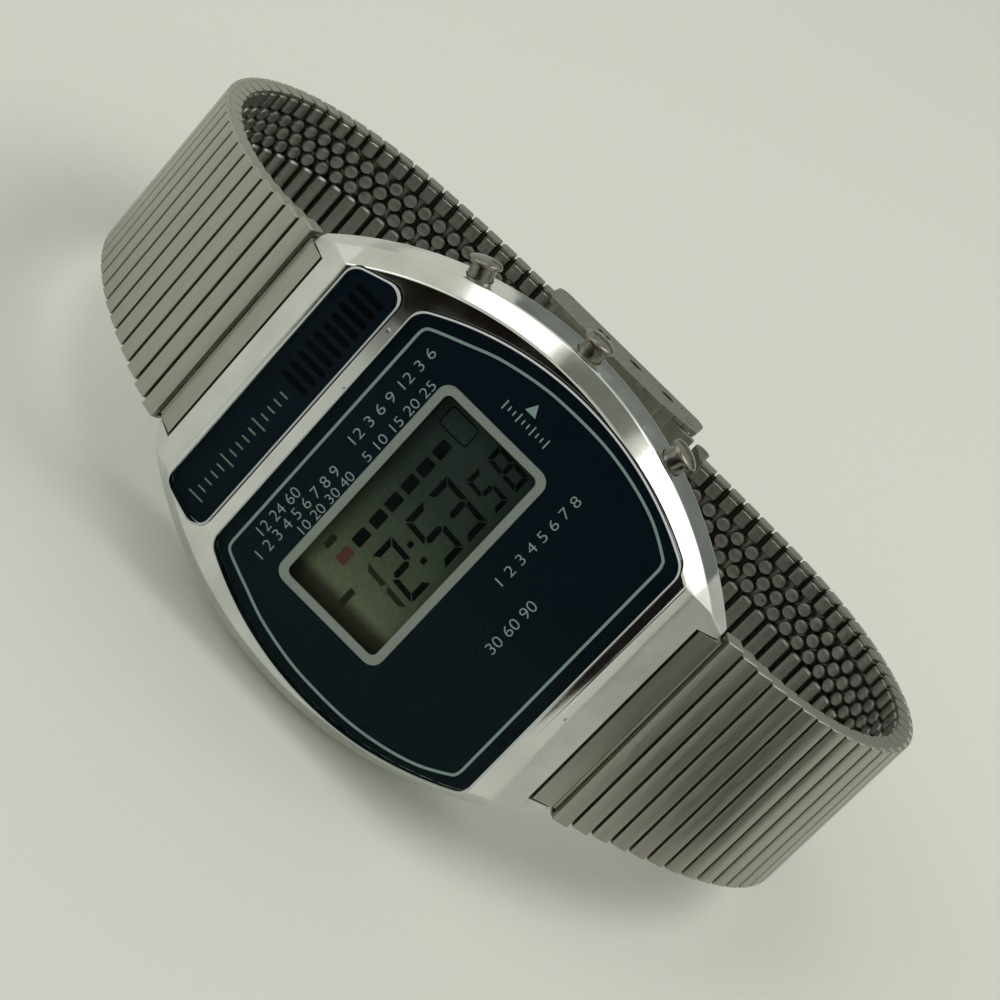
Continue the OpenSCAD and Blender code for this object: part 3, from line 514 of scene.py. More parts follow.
def barrel(r, half_w, mid_y, low, top, corner, inset=0.0, count=40):
    """Outline with arcs of radius r left and right, straight ends and rounded corners, drawn in by inset."""
    c = r - half_w
    r, lo, hi, k = r - inset, low + inset, top - inset, corner
    yl, yh = lo + k, hi - k
    xl, xh = (-c + math.sqrt((r - k) ** 2 - (y - mid_y) ** 2) for y in (yl, yh))
    al, ah = math.atan2(yl - mid_y, xl + c), math.atan2(yh - mid_y, xh + c)
    first = np.linspace(-math.pi / 2, al, 8)
    flank = np.linspace(al, ah, count)[1:-1]
    last = np.linspace(ah, math.pi / 2, 8)
    x = np.concatenate([xl + k * np.cos(first), -c + r * np.cos(flank), xh + k * np.cos(last)])
    y = np.concatenate([yl + k * np.sin(first), mid_y + r * np.sin(flank), yh + k * np.sin(last)])
    return np.stack([np.concatenate([x, -x[::-1]]), np.concatenate([y, y[::-1]])], 1)


def circle(sides):
    """Angles of the points of a circle."""
    return np.linspace(0, 2 * math.pi, sides, endpoint=False)


def quarters(n):
    """Angles of the points of four quarter circles, n points on each."""
    return np.concatenate([np.linspace(0, math.pi / 2, n) + q * math.pi / 2 for q in range(4)])


def rounded(x, y, w, h, r, n=6):
    """Outline of a rounded rectangle about (x, y): a quarter circle of n points at each corner."""
    turn = quarters(n)
    sx = np.repeat([1, -1, -1, 1], n)
    sy = np.repeat([1, 1, -1, -1], n)
    return np.stack([x + sx * (w / 2 - r) + r * np.cos(turn), y + sy * (h / 2 - r) + r * np.sin(turn)], 1)


def stacked(outlines, ring=False):
    """Joins (outline, height) pairs with equal counts of points, from the first to the last."""
    return tubes(np.stack([np.column_stack([o, np.full(len(o), z)]) for o, z in outlines])[None], ring=ring)


def slab(outline, low, high):
    """An outline on the dial carried from one height to the other."""
    return stacked([(outline, low), (outline, high)])


def band(outer, inner, low, high):
    """A frame between two outlines with equal counts of points, carried from one height to the other."""
    return stacked([(outer, low), (outer, high), (inner, high), (inner, low)], ring=True)


def shrunk(outline, d):
    """The outline drawn in by d along its own normals, from the directions to its two neighbours."""
    ahead = np.roll(outline, -1, 0) - np.roll(outline, 1, 0)
    ahead /= np.linalg.norm(ahead, axis=1)[:, None]
    return outline + d * np.stack([-ahead[:, 1], ahead[:, 0]], 1)


def turned_bar(y, z, profile, sides, ring=False):
    """A profile of (X, radius) turned round a line that runs across the watch at (y, z)."""
    a = circle(sides)
    x, radius = np.array(profile).T[:, :, None]
    rings = np.stack(np.broadcast_arrays(x, y + radius * np.cos(a), z + radius * np.sin(a)), -1)
    return tubes(rings[None], ring=ring)


def across(y, z, r, half, sides, edge=0.06):
    """A round bar with small chamfers across the watch."""
    return turned_bar(y, z, [(-half, r - edge), (edge - half, r), (half - edge, r), (half, r - edge)], sides)


def eased(profile, depth, w):
    """Length at each depth from a profile of (length, depth), averaged over w each way to round corners."""
    length, at = np.array(profile).T
    return np.mean([np.interp(depth + o, at, length) for o in np.linspace(-w, w, 9)], 0)


def case_shell(w):
    """The case without its openings: outlines between two flanks of revolution, stacked from back to bezel,
    with every edge rounded over w."""
    back, bezel = FLANK[0][1], FLANK[-1][1]
    breaks = sorted({z for _, z in FLANK[1:-1] + END[1:-1]})
    depth = np.concatenate([[back], *[z + np.linspace(-w, w, 9) for z in breaks], [bezel - w]])
    depth = np.unique(np.round(depth, 4))
    rings = list(zip(eased(FLANK, depth, w), eased(END, depth, w), depth))
    r, l = rings[-1][:2]
    # The rim of the bezel turns in by half as much again as it rises
    for t in np.linspace(0, math.pi / 2, 5)[1:]:
        drawn_in = (w - w * math.cos(t)) * 1.5
        rings.append((r - drawn_in, l - drawn_in, bezel - w + w * math.sin(t)))
    return stacked([(barrel(r, r - AXIS, 0.0, -l, l, CASE_CORNER, count=120), z) for r, l, z in rings])


def block(x, y, w, h, low, high):
    """A box on the dial's plane about (x, y), from one height to the other."""
    corners = np.array([(1, 1), (-1, 1), (-1, -1), (1, -1)]) * [w / 2, h / 2] + [x, y]
    return slab(corners, low, high)


def pusher_axis(i):
    """The level direction of pusher i, away from the flank's axis."""
    a = math.radians(PUSHER_LEAD + i * PUSHER_STEP)
    return np.array([math.cos(a), math.sin(a), 0.0])


def at_pusher(i, far, level, up):
    """Points far along a pusher's axis, which starts on the flank's axis, moved level and up from it."""
    out = pusher_axis(i)
    side = np.array([-out[1], out[0], 0.0])
    moved = sum(np.multiply.outer(d, way) for d, way in ((far, out), (level, side), (up, [0.0, 0.0, 1.0])))
    return moved + [-AXIS, 0.0, PUSHER_Z]


def lathe(i, profile, sides=48, ring=False):
    """A profile of (radius, distance) turned round a pusher's axis."""
    t = circle(sides)
    r, far = np.array(profile).T[:, :, None]
    return tubes(at_pusher(i, far + 0 * t, r * np.cos(t), r * np.sin(t))[None], ring=ring)


def coil(i, r, wire, low, high, turns=4):
    """A spring round a pusher's axis: a circle of the wire's radius, carried along a helix."""
    t = np.linspace(0, 2 * math.pi * turns, 18 * turns + 1)[:, None]
    w = circle(6)
    out = r + wire * np.cos(w)
    far = low + wire + (high - low - 2 * wire) * t / t[-1] + wire * np.sin(w)
    return tubes(at_pusher(i, far, out * np.cos(t), out * np.sin(t))[None])


def taken(obj):
    """Points and faces of an object as its modifiers or its curve make it."""
    bpy.context.view_layer.update()
    mesh = bpy.data.meshes.new_from_object(obj.evaluated_get(bpy.context.evaluated_depsgraph_get()))
    points = np.empty(len(mesh.vertices) * 3)
    mesh.vertices.foreach_get("co", points)
    faces = [list(f.vertices) for f in mesh.polygons]
    bpy.data.meshes.remove(mesh)
    return points.reshape(-1, 3), faces


def carved(part, *cutters):
    """Takes groups of cutters out of a part: one exact Boolean for each group, whose cutters don't touch."""
    solids = [part, *[joined(group) for group in cutters]]
    objects = [in_scene("blank", closed_mesh(*solid)) for solid in solids]
    for cutter in objects[1:]:
        cut = objects[0].modifiers.new("Cut", "BOOLEAN")
        cut.operation = "DIFFERENCE"
        cut.solver = "EXACT"
        cut.object = cutter
    solid = taken(objects[0])
    for obj in objects:
        bpy.data.objects.remove(obj)
    return solid


def on_rows(strap, rows, u, a, b, h):
    """Carries a template to rows: x is a times half a row's width plus b, u runs along it and h out of it."""
    t = strap["angle"][rows][:, None, None]
    p = strap["path"][rows]
    half = strap["width"][rows][:, None, None] / 2
    y = p[:, 0, None, None] + u * np.cos(t) - h * np.sin(t)
    z = p[:, 1, None, None] + u * np.sin(t) + h * np.cos(t)
    x = a * half + b
    return tubes(np.stack(np.broadcast_arrays(x, strap["side"] * y, z), -1))


def bar_template(u0, u1, h0, h1, r_low, r_high, ends, n=3):
    """A rounded profile in (u, h) carried over end sections (a, b, inset), each drawn in by its inset."""
    turn = quarters(n)
    r = np.repeat([r_high, r_high, r_low, r_low], n)
    u = np.repeat([u1, u0, u0, u1], n) - np.repeat([1, -1, -1, 1], n) * r + r * np.cos(turn)
    h = np.repeat([h1, h1, h0, h0], n) - np.repeat([1, 1, -1, -1], n) * r + r * np.sin(turn)
    a, b, inset = np.array(ends, float).T[:, :, None]
    mid_u, mid_h = (u0 + u1) / 2, (h0 + h1) / 2
    u = mid_u + (u - mid_u) * (1 - 2 * inset / (u1 - u0))
    h = mid_h + (h - mid_h) * (1 - 2 * inset / (h1 - h0))
    return u, a, b, h


def bead_template(u, x, top, dome):
    """A low dome on a stem: ovals, a little longer along the strap, that shrink towards its top."""
    a = circle(12)
    h = np.array([-BEAD_H, -BEAD_H + 0.25 * dome, -BEAD_H + dome, top])[:, None]
    r = BEAD_R * np.array([0.62, 0.87, 1.0, 1.0])[:, None]
    return u + 1.11 * r * np.cos(a), 0.0, x + r * np.sin(a), h + 0 * a


def cap_template(s):
    """The folded end of a strip: a plate that narrows inwards, carried over the thickness of its sheet."""
    inset, h = np.array([(0.06, 0.04), (0.08, -0.3), (0.18, -0.86), (0.3, -0.98)]).T
    u = np.concatenate([inset[:1], PITCH - inset, inset[:0:-1]])
    h = np.concatenate([h[:1], h, h[:0:-1]])
    return u[None], s, np.array([[0.0], [-s * CAP_T]]), h[None]


def row_parts(strap, rows, linked, style):
    """Some rows of one stretch as two (points, faces) lists: strips, then bars, beads and ties. Linked rows
    are tied to the row after them."""
    # End sections are (share of half the width, offset, inset)
    e, m, q = STRIP_END, MID_BAR_HALF, BAR_ROUND
    strip = bar_template(style.groove / 2, PITCH - style.groove / 2, 0.0, STRIP_T, 0.03, style.edge,
                         [(-1, 0, e), (-1, e, 0), (1, -e, 0), (1, 0, e)])
    profile = (BAR_NEAR, BAR_FAR, -BEAD_H, OVERLAP, 0.3, 0.05)
    inner = [bar_template(*profile, [(0, -m, q), (0, q - m, 0), (0, m - q, 0), (0, m, q)])]
    for s in (-1, 1):
        inner.append(bar_template(*profile, [(0, s * SIDE_BAR, q), (0, s * (SIDE_BAR + q), 0),
                                             (s, -s * (BAR_IN + q), 0), (s, -s * BAR_IN, q)]))
        inner.append(bead_template(PITCH / 2, s * COLUMNS[1], OVERLAP, style.dome))
        inner += [bead_template(PITCH, s * x, -0.17, style.dome) for x in COLUMNS[::2]]
    parts = [on_rows(strap, rows, *t) for t in inner]
    for group, low, high in ((rows, PITCH - 0.5, PITCH - 0.1), (linked, PITCH + 0.1, PITCH + 0.5)):
        for x in (*-COLUMNS[::2], *COLUMNS[::2]):
            tie = bar_template(low, high, -0.6, 0.03, 0.02, 0.02, [(0, x - 0.3, 0), (0, x + 0.3, 0)], n=2)
            parts.append(on_rows(strap, group, *tie))
    return [on_rows(strap, rows, *t) for t in (strip, cap_template(-1), cap_template(1))], parts


# The bars that are lit for each figure
LIT = {"1": "bc", "2": "abged", "3": "abgcd", "5": "afgcd", "8": "abcdefg"}


def segments(figure, x, y, w, h, t, slant):
    """Outlines of a seven segment figure: bars of thickness t with mitred ends and gaps between them, leaning
    by slant degrees from its foot at (x, y)."""
    s, g, m = 0.14 * t, 0.1 * t, h / 2
    over, under = m + t / 2, m - t / 2
    tip, left, right = t * 0.55, t - g, w - t + g
    shapes = {
        "a": [(s, h), (w - s, h), (w - t, h - t), (t, h - t)],
        "d": [(t, t), (w - t, t), (w - s, 0), (s, 0)],
        "g": [(tip, m), (t, over), (w - t, over), (w - tip, m), (w - t, under), (t, under)],
        "f": [(0, h - s - g), (left, h - t - g), (left, over + g), (0, m + g)],
        "e": [(0, m - g), (left, under - g), (left, t + g), (0, s + g)],
        "b": [(w, h - s - g), (w, m + g), (right, over + g), (right, h - t - g)],
        "c": [(w, m - g), (w, s + g), (right, t + g), (right, under - g)],
    }
    out = []
    for key in LIT[figure]:
        p = np.array(shapes[key], float)
        p[:, 0] += x + math.tan(math.radians(slant)) * p[:, 1]
        p[:, 1] += y
        out.append(p)
    return out


def figures(text, x0, x1, y0, y1, low, high):
    """Plain figures from the built-in font, thinned a little, fitted into a box on the dial and carried from
    low to high."""
    curve = bpy.data.curves.new("figures", "FONT")
    curve.body = text
    curve.extrude = 0.5
    curve.offset = -0.012
    holder = in_scene("figures", curve)
    p, faces = taken(holder)
    bpy.data.objects.remove(holder)
    small, large = p.min(0), p.max(0)
    p = (p - small) / (large - small)
    return p * [x1 - x0, y1 - y0, high - low] + [x0, y0, low], faces


class WatchCaseSettings(bpy.types.PropertyGroup):
    edge: FloatProperty(
        name="Edge", description="Rounding of the case's edges, in mm", default=0.12, min=0.02, max=0.3)
    sheen: FloatProperty(
        name="Sheen gap", description="Gap between glass and ink, in mm", default=0.03, min=0.01, max=0.08)


class WatchStrapSettings(bpy.types.PropertyGroup):
    edge: FloatProperty(
        name="Strip edge", description="Rounding of a strip's edges, in mm", default=0.06, min=0.01, max=0.15)
    groove: FloatProperty(
        name="Groove", description="Groove between two strips, in mm", default=0.23, min=0.1, max=0.4)
    dome: FloatProperty(
        name="Bead dome", description="Height of a bead's dome, in mm", default=0.2, min=0.05, max=0.5)


class WatchColours(bpy.types.PropertyGroup):
    strip: StringProperty(name="Strips", description="Hex colour of the outer strips", default="#AAA9A0")
    bar: StringProperty(name="Bars", description="Hex colour of the bars and beads", default="#8E8E88")
    clasp: StringProperty(name="Clasp", description="Hex colour of the clasp's sheet", default="#AFAFA4")
    frame: StringProperty(name="Frame", description="Hex colour of the display's frame", default="#ABA99F")
    ink: StringProperty(name="Ink", description="Hex colour of the dial's lines", default="#A9B8B2")
    segment: StringProperty(name="Segments", description="Hex colour of lit segments", default="#0B0E0C")


class WatchStageSettings(bpy.types.PropertyGroup):
    floor: StringProperty(name="Floor", description="Hex colour of the floor", default="#EAECE2")
    key: FloatProperty(
        name="Key", description="Power of the large lamp, in watts", default=0.45, min=0, unit="POWER")
    top: FloatProperty(
        name="Top", description="Power of the lamp overhead, in watts", default=0.08, min=0, unit="POWER")
    fill: FloatProperty(
        name="Fill", description="Power of the side lamp, in watts", default=0.26, min=0, unit="POWER")


class WATCH_OT_case(bpy.types.Operator):
    """Makes the finishes and the polished case with its back and its end links"""
    bl_idname = "watch.case"
    bl_label = "Case"

    def execute(self, context):
        make_materials(context.scene.watch_colours)
        edge = context.scene.watch_case.edge
        lug_l, wedge_half = 3.0, 20.0
        ends = [block(0, s * (SEAT + lug_l / 2), LUG_GAP, lug_l, CUT_LOW, CUT_TOP) for s in (-1, 1)]
        glasses = [slab(barrel(**shape), WINDOW_LOW, CUT_TOP) for shape in (MAIN_GLASS, UPPER_GLASS)]
        cavity = barrel(CAVITY_R, CAVITY_R - AXIS, 0.0, -CAVITY_L, CAVITY_L, CAVITY_CORNER)
        seats = [across(s * BAR_Y, BAR_Z, EYE_ROOM, LUG_GAP / 2, 48) for s in (-1, 1)]
        window = block(FRAME_X, FRAME_Y, FRAME_W + 1, FRAME_H + 1, CAVITY_TOP - 0.1, WINDOW_LOW + 0.05)
        wedge = tubes(np.array([[(x, *yz) for yz in WEDGE] for x in (-wedge_half, wedge_half)])[None])
        shell = carved(case_shell(edge), [*ends, *glasses, slab(cavity, CUT_LOW, CAVITY_TOP)],
                       [*seats, window, wedge], [lathe(i, BORE) for i in (-1, 0, 1)])
        shown("case_shell", [shell], "chrome", "case", ("case_middle",), 24.0)
        dressed("case_back", "back", "case", 0.08)
        dressed("back_screws", "turned", "case", 0.03)
        for side in ("12", "6"):
            dressed("end_link_" + side, "strip", "link_" + side, 0.06)
        coated("turned", "spring_bar_12", "spring_bar_6")
        coated("rubber", "back_gasket", "pusher_seals")
        return {"FINISHED"}


class WATCH_OT_glasses(bpy.types.Operator):
    """Makes the two bevelled glasses"""
    bl_idname = "watch.glasses"
    bl_label = "Glasses"

    def execute(self, context):
        low = -GLASS_T + context.scene.watch_case.sheen
        levels = ((SLIP + 0.02, low), (SLIP, low + 0.02), (SLIP, -BEVEL), (SLIP + BEVEL, 0.0))
        # A thin ring just inside the bevel, as (inset, height): the ground edge as it shows through the glass
        ground = ((SLIP + 0.02, 0.02 - BEVEL), (SLIP, 0.03 - BEVEL), (SLIP + 0.1, 0.14 - BEVEL),
                  (SLIP + 0.12, 0.12 - BEVEL))
        for name, shape in (("main_crystal", MAIN_GLASS), ("upper_crystal", UPPER_GLASS)):
            pane, rim = ([(barrel(**shape, inset=d), z) for d, z in rings] for rings in (levels, ground))
            shown(name + "_ground", [stacked(pane)], "glass", "case", (name,), 20.0)
            shown(name + "_edge", [stacked(rim, ring=True)], "ground", "case", (), 60.0)
        return {"FINISHED"}


class WATCH_OT_dial(bpy.types.Operator):
    """Makes the inks behind the glasses: films, frame, lines, ticks, plain figures and grille bars"""
    bl_idname = "watch.dial"
    bl_label = "Dial"

    def execute(self, context):
        coated("main_film", "dial_film")
        coated("upper_film", "upper_film")
        # Inks stand from just inside the film into the gap under the glass
        film, low, high = -GLASS_T - FILM_T, -GLASS_T - 0.002, -GLASS_T + 0.012
        outer = rounded(FRAME_X, FRAME_Y, FRAME_W - 0.02, FRAME_H - 0.02, FRAME_CORNER)
        inner = rounded(FRAME_X, FRAME_Y, FRAME_W - 2 * FRAME_RIM, FRAME_H - 2 * FRAME_RIM, OPENING_CORNER)
        shown("display_frame_ink", [band(outer, inner, film, high)], "silver", "case",
              ("display_frame",))
        square = rounded(FRAME_X, FRAME_Y, FRAME_W - 0.01, FRAME_H - 0.01, 0.01)
        bars = [slab(rounded(1.13 + 0.891 * i, 13.25, 0.5, 2.4, 0.24), low, high) for i in range(10)]
        ticks = [slab(rounded(-9.9 + 0.7 * i, 13.2, 0.12, 1.3 if i % 5 == 0 else 0.7, 0.05), low, high)
                 for i in range(15)]
        for name, parts, ink in (
            ("frame_corners", [band(square, outer, film, -GLASS_T)], "main_film"),
            ("border_line", [self.border(low, high)], "ink"), ("dial_figures", self.words(low, high), "ink"),
            ("grille_bars", bars, "grille"), ("upper_scale", ticks, "label"),
        ):
            shown(name, parts, ink, "case")
        return {"FINISHED"}

    def border(self, low, high):
        """Line round the dial: straight top and foot, and a cubic spline through thirteen points a side."""
        side = np.array([(10.0, -13.08), (10.5, -12.98), (10.97, -12.6), (12.22, -10.5), (13.12, -7.75),
                         (13.62, -4.75), (13.67, -1.5), (13.47, 1.0), (12.82, 4.0), (11.97, 6.25),
                         (11.0, 8.6), (10.6, 9.15), (10.1, 9.3)])
        t = np.linspace(0, len(side) - 1, 90)
        i = np.clip(t.astype(int), 0, len(side) - 2)
        f = (t - i)[:, None]
        p = side[np.clip(i[:, None] + np.arange(-1, 3), 0, len(side) - 1)]
        curve = 0.5 * (2 * p[:, 1] + (p[:, 2] - p[:, 0]) * f
                       + (2 * p[:, 0] - 5 * p[:, 1] + 4 * p[:, 2] - p[:, 3]) * f ** 2
                       + (3 * p[:, 1] - p[:, 0] - 3 * p[:, 2] + p[:, 3]) * f ** 3)
        line = np.vstack([curve, curve[::-1] * [-1, 1]]) + [-0.28, 0]
        return band(line, shrunk(line, 0.2), low, high)

    def words(self, low, high):
        """Plain figures, ticks and a pointer in the places of the dial's small printing."""
        # Each row of figures with its left, right, foot and top
        rows = (("12 24 60", -8.45, -4.25, 7.83, 8.63), ("1 2 3 4 5 6 7 8 9", -9.75, -1.13, 6.8, 7.6),
                ("10 20 30 40", -6.25, -0.63, 5.85, 6.55), ("12 3 6 9 12 3 6", 1.0, 9.63, 7.35, 8.1),
                ("5 10 15 20 25", 0.75, 8.0, 5.9, 6.6), ("1 2 3 4 5 6 7 8", 1.25, 9.38, -6.35, -5.6),
                ("30 60 90", -2.75, 2.0, -9.05, -8.25))
        parts = [figures(text, *box, low, high) for text, *box in rows]
        parts += [slab(rounded(10.47, 1.8 - 0.42 * i, 0.75 if i % 3 == 0 else 0.4, 0.1, 0.04), low, high)
                  for i in range(10)]
        parts.append(slab(np.array([(11.2, -0.3), (12.05, 0.15), (11.2, 0.62)]), low, high))
        return parts


class WATCH_OT_display(bpy.types.Operator):
    """Makes the liquid crystal display: its cell, figures, dots and small marks"""
    bl_idname = "watch.display"
    bl_label = "Display"

    def execute(self, context):
        coated("display", "lcd_cell")
        coated("foil", "lcd_reflector")
        low, high = -CELL_DEPTH + 0.002, -CELL_DEPTH + 0.02
        # Figures, dots, day blocks and small marks, each from its place on the dial
        big = dict(y=-2.62, w=2.08, h=4.15, t=0.47, slant=4.6)
        small = dict(y=-2.62, w=1.4, h=2.95, t=0.36, slant=4.6)
        lit = [outline for figure, x, size in (("2", -4.63, big), ("5", -1.15, big), ("3", 1.3, big),
                                               ("5", 4.12, small), ("8", 6.25, small))
               for outline in segments(figure, x=x, **size)]
        lit += [rounded(-1.67, 0.18, 0.5, 0.42, 0.12), rounded(-1.83, -1.23, 0.5, 0.42, 0.12)]
        places = (-5.62, -3.82, -1.99, -0.32, 1.43, 3.05, 4.76)
        first, *rest = [rounded(x, 2.95, 1.3, 0.85, 0.1) for x in places]
        for name, outlines, finish in (
            ("display_figures", lit, "segment"), ("display_one", segments("1", x=-7.2, **big), "faint"),
            ("display_day_blocks", rest, "segment"), ("display_first_block", [first], "accent"),
        ):
            shown(name, [slab(outline, low, high) for outline in outlines], finish, "case")
        line = rounded(6.77, 3.15, 1.7, 2.55, 0.3)
        shown("display_frame_line", [band(line, shrunk(line, 0.11), low, high)], "segment", "case")
        marks = [slab(rounded(-5.63, 4.33, 1.15, 0.5, 0.24), low, high),
                 slab(rounded(-7.7, 0.9, 1.4, 0.5, 0.1), low, high)]
        shown("display_outlines", marks, "faint", "case")
        return {"FINISHED"}


class WATCH_OT_bracelet(bpy.types.Operator):
    """Makes the rows of the bracelet's fourteen movable stretches"""
    bl_idname = "watch.bracelet"
    bl_label = "Bracelet"

    def execute(self, context):
        style = context.scene.watch_strap
        for side, strap in STRAPS.items():
            last = 0
            for n, count in enumerate(strap["rows"], 1):
                first, last = last, last + count
                body = f"strap_{side}_{n}"
                rows = np.arange(first, last)
                strips, bars = row_parts(strap, rows, rows[:-1], style)
                pins = [self.pin(strap, i) for i in range(first + 1, last + (n < len(strap["rows"])))]
                if n == len(strap["rows"]):
                    bars += self.eye(side, strap)
                shown(body + "_strips", strips, "strip", body, (body,), 40.0)
                shown(body + "_beads", bars, "bar", body, (), 40.0)
                shown(body + "_pins", pins, "pin", body, (), 40.0)
        coated("turned", "strap_end_pin", "clasp_spring_bar")
        return {"FINISHED"}

    def pin(self, strap, i):
        """The pin on the border before row i, set under the strips along the bisector of the two rows."""
        m = strap["angle"][i - 1:i + 1].mean()
        spot = strap["path"][i] + PIN_SINK * np.array([math.sin(m), -math.cos(m)])
        return across(strap["side"] * spot[0], spot[1], PIN_R, strap["width"][i] / 2 - PIN_SHORT, 12)

    def eye(self, side, strap):
        """The eye past the last row, and the plate that joins it to the row: level with the rows at the 12
        side, bent down to the inner blade at the 6 side."""
        y, z = strap["path"][-1]
        s, half = strap["side"], STRAP_END_W / 2 - 0.1
        eye_y = y - EYE_LEAD[side]
        lap = [(y + 0.3, z + 0.3), (y + 0.3, z - 0.3)]
        if side == "12":
            eye_z = z + (BEAD_H - STRIP_T) / 2
            plate = [*lap, (eye_y + 0.55, eye_z - 0.4), (eye_y + 0.55, eye_z + 0.4)]
        else:
            eye_z = INNER_LOW + BLADE_T / 2
            plate = [*lap, (eye_y + 0.45, eye_z + 0.5), (eye_y - 0.45, eye_z + 0.5), (y - 0.1, z + 0.3)]
        bore = CLASP_PIN_R + PIN_PLAY
        wall = [(-half, EYE_R), (half, EYE_R), (half, bore), (-half, bore)]
        ends = np.array([[(x, s * y, z) for y, z in plate] for x in (-half, half)])
        return [turned_bar(s * eye_y, eye_z, wall, 28, ring=True), tubes(ends[None])]


class WATCH_OT_clasp(bpy.types.Operator):
    """Makes the folding clasp: cover, two blades and their pins"""
    bl_idname = "watch.clasp"
    bl_label = "Clasp"

    def execute(self, context):
        dressed("clasp_cover", "sheet", "clasp_cover", 0.18)
        dressed("middle_blade", "sheet", "middle_blade", 0.06)
        dressed("inner_blade", "sheet", "inner_blade", 0.06)
        coated("turned", "clasp_hinge_pin", "blade_hinge_pin")
        return {"FINISHED"}


class WATCH_OT_pushers(bpy.types.Operator):
    """Makes the three pushers with their springs"""
    bl_idname = "watch.pushers"
    bl_label = "Pushers"

    def execute(self, context):
        t = np.linspace(0, math.pi / 2, 13)[1:-1]
        rim, top = CAP_IN + CAP_SIDE, CAP_IN + CAP_SIDE + DOME_H
        dome = np.column_stack([DOME_FLAT + (CAP_R - DOME_FLAT) * np.cos(t), rim + DOME_H * np.sin(t)])
        profile = [*PUSHER, *dome, (CORE, top)]
        for i, place in ((1, "upper"), (0, "middle"), (-1, "lower")):
            name = "pusher_" + place
            turned = [lathe(i, profile), lathe(i, CLIP, 32, ring=True)]
            shown(name + "_head", turned, "pusher", name, (name,))
            wound = coil(i, SPRING_R, WIRE_R, SPRING_LOW, SPRING_HIGH)
            spring = shown("pusher_spring_" + place + "_coil", [wound], "turned", "case",
                           ("pusher_spring_" + place,))
            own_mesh(spring)
        return {"FINISHED"}


class WATCH_OT_inside(bpy.types.Operator):
    """Finishes what lies inside the case"""
    bl_idname = "watch.inside"
    bl_label = "Inside"

    def execute(self, context):
        for finish, nodes in (
            ("stripe", ("contact_strips",)), ("resin", ("module_frame",)), ("board", ("circuit_board",)),
            ("epoxy", ("driver_chip",)), ("can", ("quartz_can", "battery")), ("lamp", ("backlight_lamp",)),
            ("brass", ("trimmer", "battery_clip", "piezo_disc", "piezo_spring", "button_contacts")),
        ):
            coated(finish, *nodes)
        return {"FINISHED"}


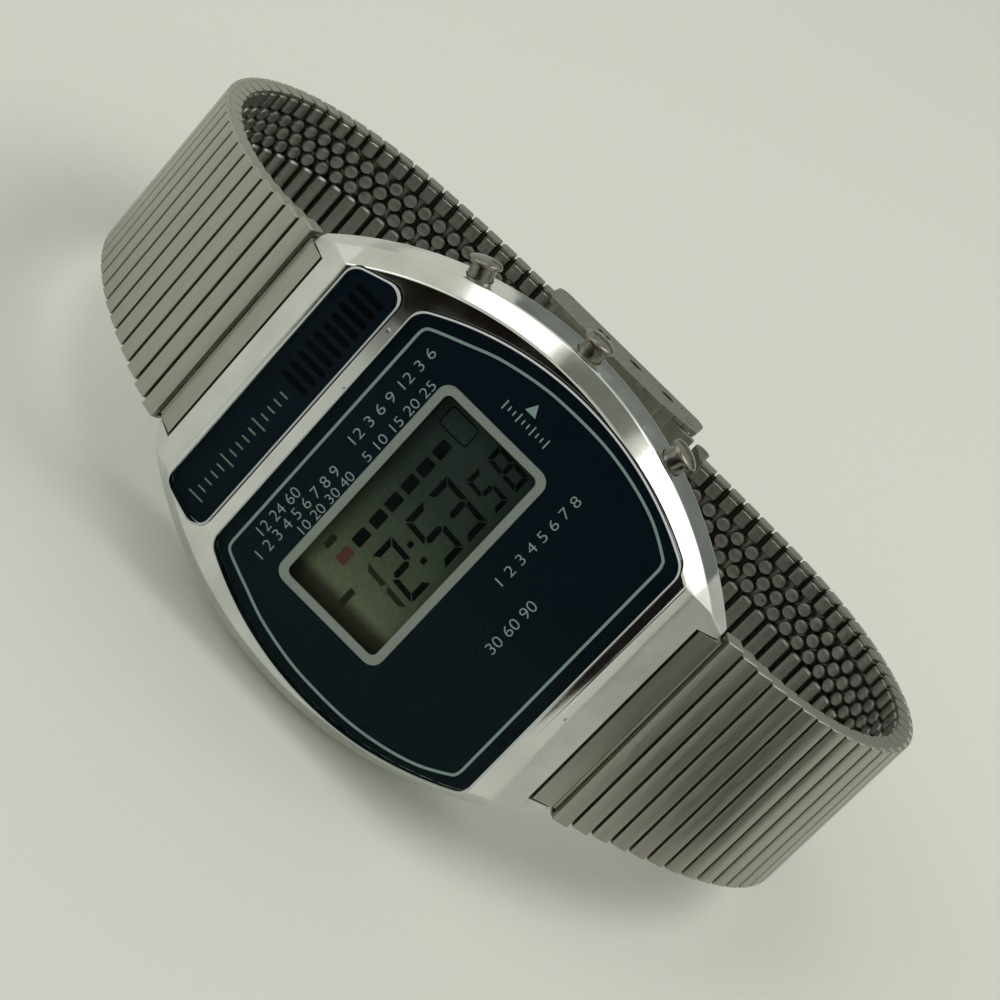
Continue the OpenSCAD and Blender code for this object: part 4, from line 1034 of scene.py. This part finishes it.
class WATCH_OT_stage(bpy.types.Operator):
    """Makes the floor, the cards that the metal mirrors, the lamps, the world and the camera"""
    bl_idname = "watch.stage"
    bl_label = "Stage"

    def execute(self, context):
        settings = context.scene.watch_stage
        self.floor(settings.floor)
        for name, card in CARDS.items():
            self.card(name, *card)
        for name, (place, size, colour) in LAMPS.items():
            self.lamp(name, place, size, getattr(settings, name), colour)
        self.world(context.scene)
        self.camera(context.scene)
        context.scene.view_settings.view_transform = "Standard"
        return {"FINISHED"}

    def plane(self, name, corners, mat):
        """A flat piece of the stage between four corners."""
        mesh = bpy.data.meshes.new(name)
        mesh.from_pydata(corners, [], [(0, 1, 2, 3)])
        mesh.materials.append(mat)
        obj = in_scene(name, mesh)
        return obj

    def floor(self, colour):
        """A painted board, matt, far wider than the view."""
        mat, tree = started("painted_board")
        shader = add(tree, "BsdfPrincipled", {
            "Base Color": linear(colour), "Roughness": 0.9, "Specular IOR Level": 0.1,
        })
        add(tree, "OutputMaterial", {"Surface": shader})
        h = FLOOR_HALF
        self.plane("floor", [(-h, -h, 0), (h, -h, 0), (h, h, 0), (-h, h, 0)], mat)

    def card(self, name, colour, ends, near, far):
        """A card that only mirrored rays meet."""
        mat, tree = started(name)
        add(tree, "OutputMaterial", {
            "Surface": add(tree, "BsdfDiffuse", {"Color": linear(colour)}),
        })
        corners = [(ends[0], near[0], near[2]), (ends[1], near[1], near[2]), (ends[1], *far), (ends[0], *far)]
        obj = self.plane(name, corners, mat)
        obj.visible_camera = False
        obj.visible_diffuse = False
        obj.visible_shadow = False

    def lamp(self, name, place, size, power, colour):
        """A square soft lamp at this place, turned towards the middle of the watch."""
        light = bpy.data.lights.new(name, "AREA")
        light.size = size
        light.energy = power
        light.color = colour
        obj = in_scene(name, light)
        obj.location = place
        x, y, z = np.array(AIM) - place
        obj.rotation_euler = (math.atan2(math.hypot(x, y), -z), 0, math.atan2(y, x) - math.pi / 2)

    def world(self, scene):
        """A pale room: softer light on the watch than what the camera, mirrors and glass show of it."""
        world = bpy.data.worlds.new("studio")
        scene.world = world
        world.use_nodes = True
        tree = world.node_tree
        tree.nodes.clear()
        rays = add(tree, "LightPath").outputs
        seen = rays["Is Camera Ray"]
        for other in ("Is Glossy Ray", "Is Transmission Ray"):
            seen = add(tree, "Math", {0: seen, 1: rays[other]}, operation="MAXIMUM")
        lit = add(tree, "Background", {"Color": linear("#F2F3EE"), "Strength": 0.55})
        pale = add(tree, "Background", {"Color": linear("#D2D4C7"), "Strength": 1.0})
        mixed = add(tree, "MixShader", {0: seen, 1: lit, 2: pale})
        add(tree, "OutputWorld", {"Surface": mixed})

    def camera(self, scene):
        """The photograph's viewpoint, with its axes made exactly square to each other."""
        u, _, v = np.linalg.svd(np.array(VIEW_AXES))
        axes = u @ v
        data = bpy.data.cameras.new("camera")
        data.lens = LENS
        data.sensor_width = SENSOR_W
        data.clip_start = 0.01
        matrix = np.eye(4)
        matrix[:3, :3] = TURN @ axes.T @ np.diag([1, -1, -1])
        matrix[:3, 3] = laid(-axes.T @ np.array(VIEW_CENTRE))
        obj = in_scene("camera", data)
        obj.matrix_world = Matrix(matrix.tolist())
        scene.camera = obj


PIECES = (WATCH_OT_case, WATCH_OT_glasses, WATCH_OT_dial, WATCH_OT_display, WATCH_OT_bracelet, WATCH_OT_clasp,
          WATCH_OT_pushers, WATCH_OT_inside, WATCH_OT_stage)
SETTINGS = {"watch_case": WatchCaseSettings, "watch_strap": WatchStrapSettings, "watch_colours": WatchColours,
            "watch_stage": WatchStageSettings}


class WATCH_PT_panel(bpy.types.Panel):
    """Lists the pieces and their settings"""
    bl_idname = "WATCH_PT_panel"
    bl_label = "Watch"
    bl_space_type = "VIEW_3D"
    bl_region_type = "UI"
    bl_category = "Watch"

    def draw(self, context):
        for piece in PIECES:
            self.layout.operator(piece.bl_idname)
        for name, group in SETTINGS.items():
            box = self.layout.box()
            for key in group.__annotations__:
                box.prop(getattr(context.scene, name), key)


def register():
    for group in SETTINGS.values():
        bpy.utils.register_class(group)
    for name, group in SETTINGS.items():
        setattr(bpy.types.Scene, name, PointerProperty(type=group))
    for piece in (*PIECES, WATCH_PT_panel):
        bpy.utils.register_class(piece)


def unregister():
    for piece in (WATCH_PT_panel, *reversed(PIECES)):
        bpy.utils.unregister_class(piece)
    for name, group in SETTINGS.items():
        delattr(bpy.types.Scene, name)
        bpy.utils.unregister_class(group)


def main():
    """Makes every piece in order."""
    register()
    for piece in PIECES:
        getattr(bpy.ops.watch, piece.bl_idname.split(".")[1])()


if __name__ == "__main__":
    main()
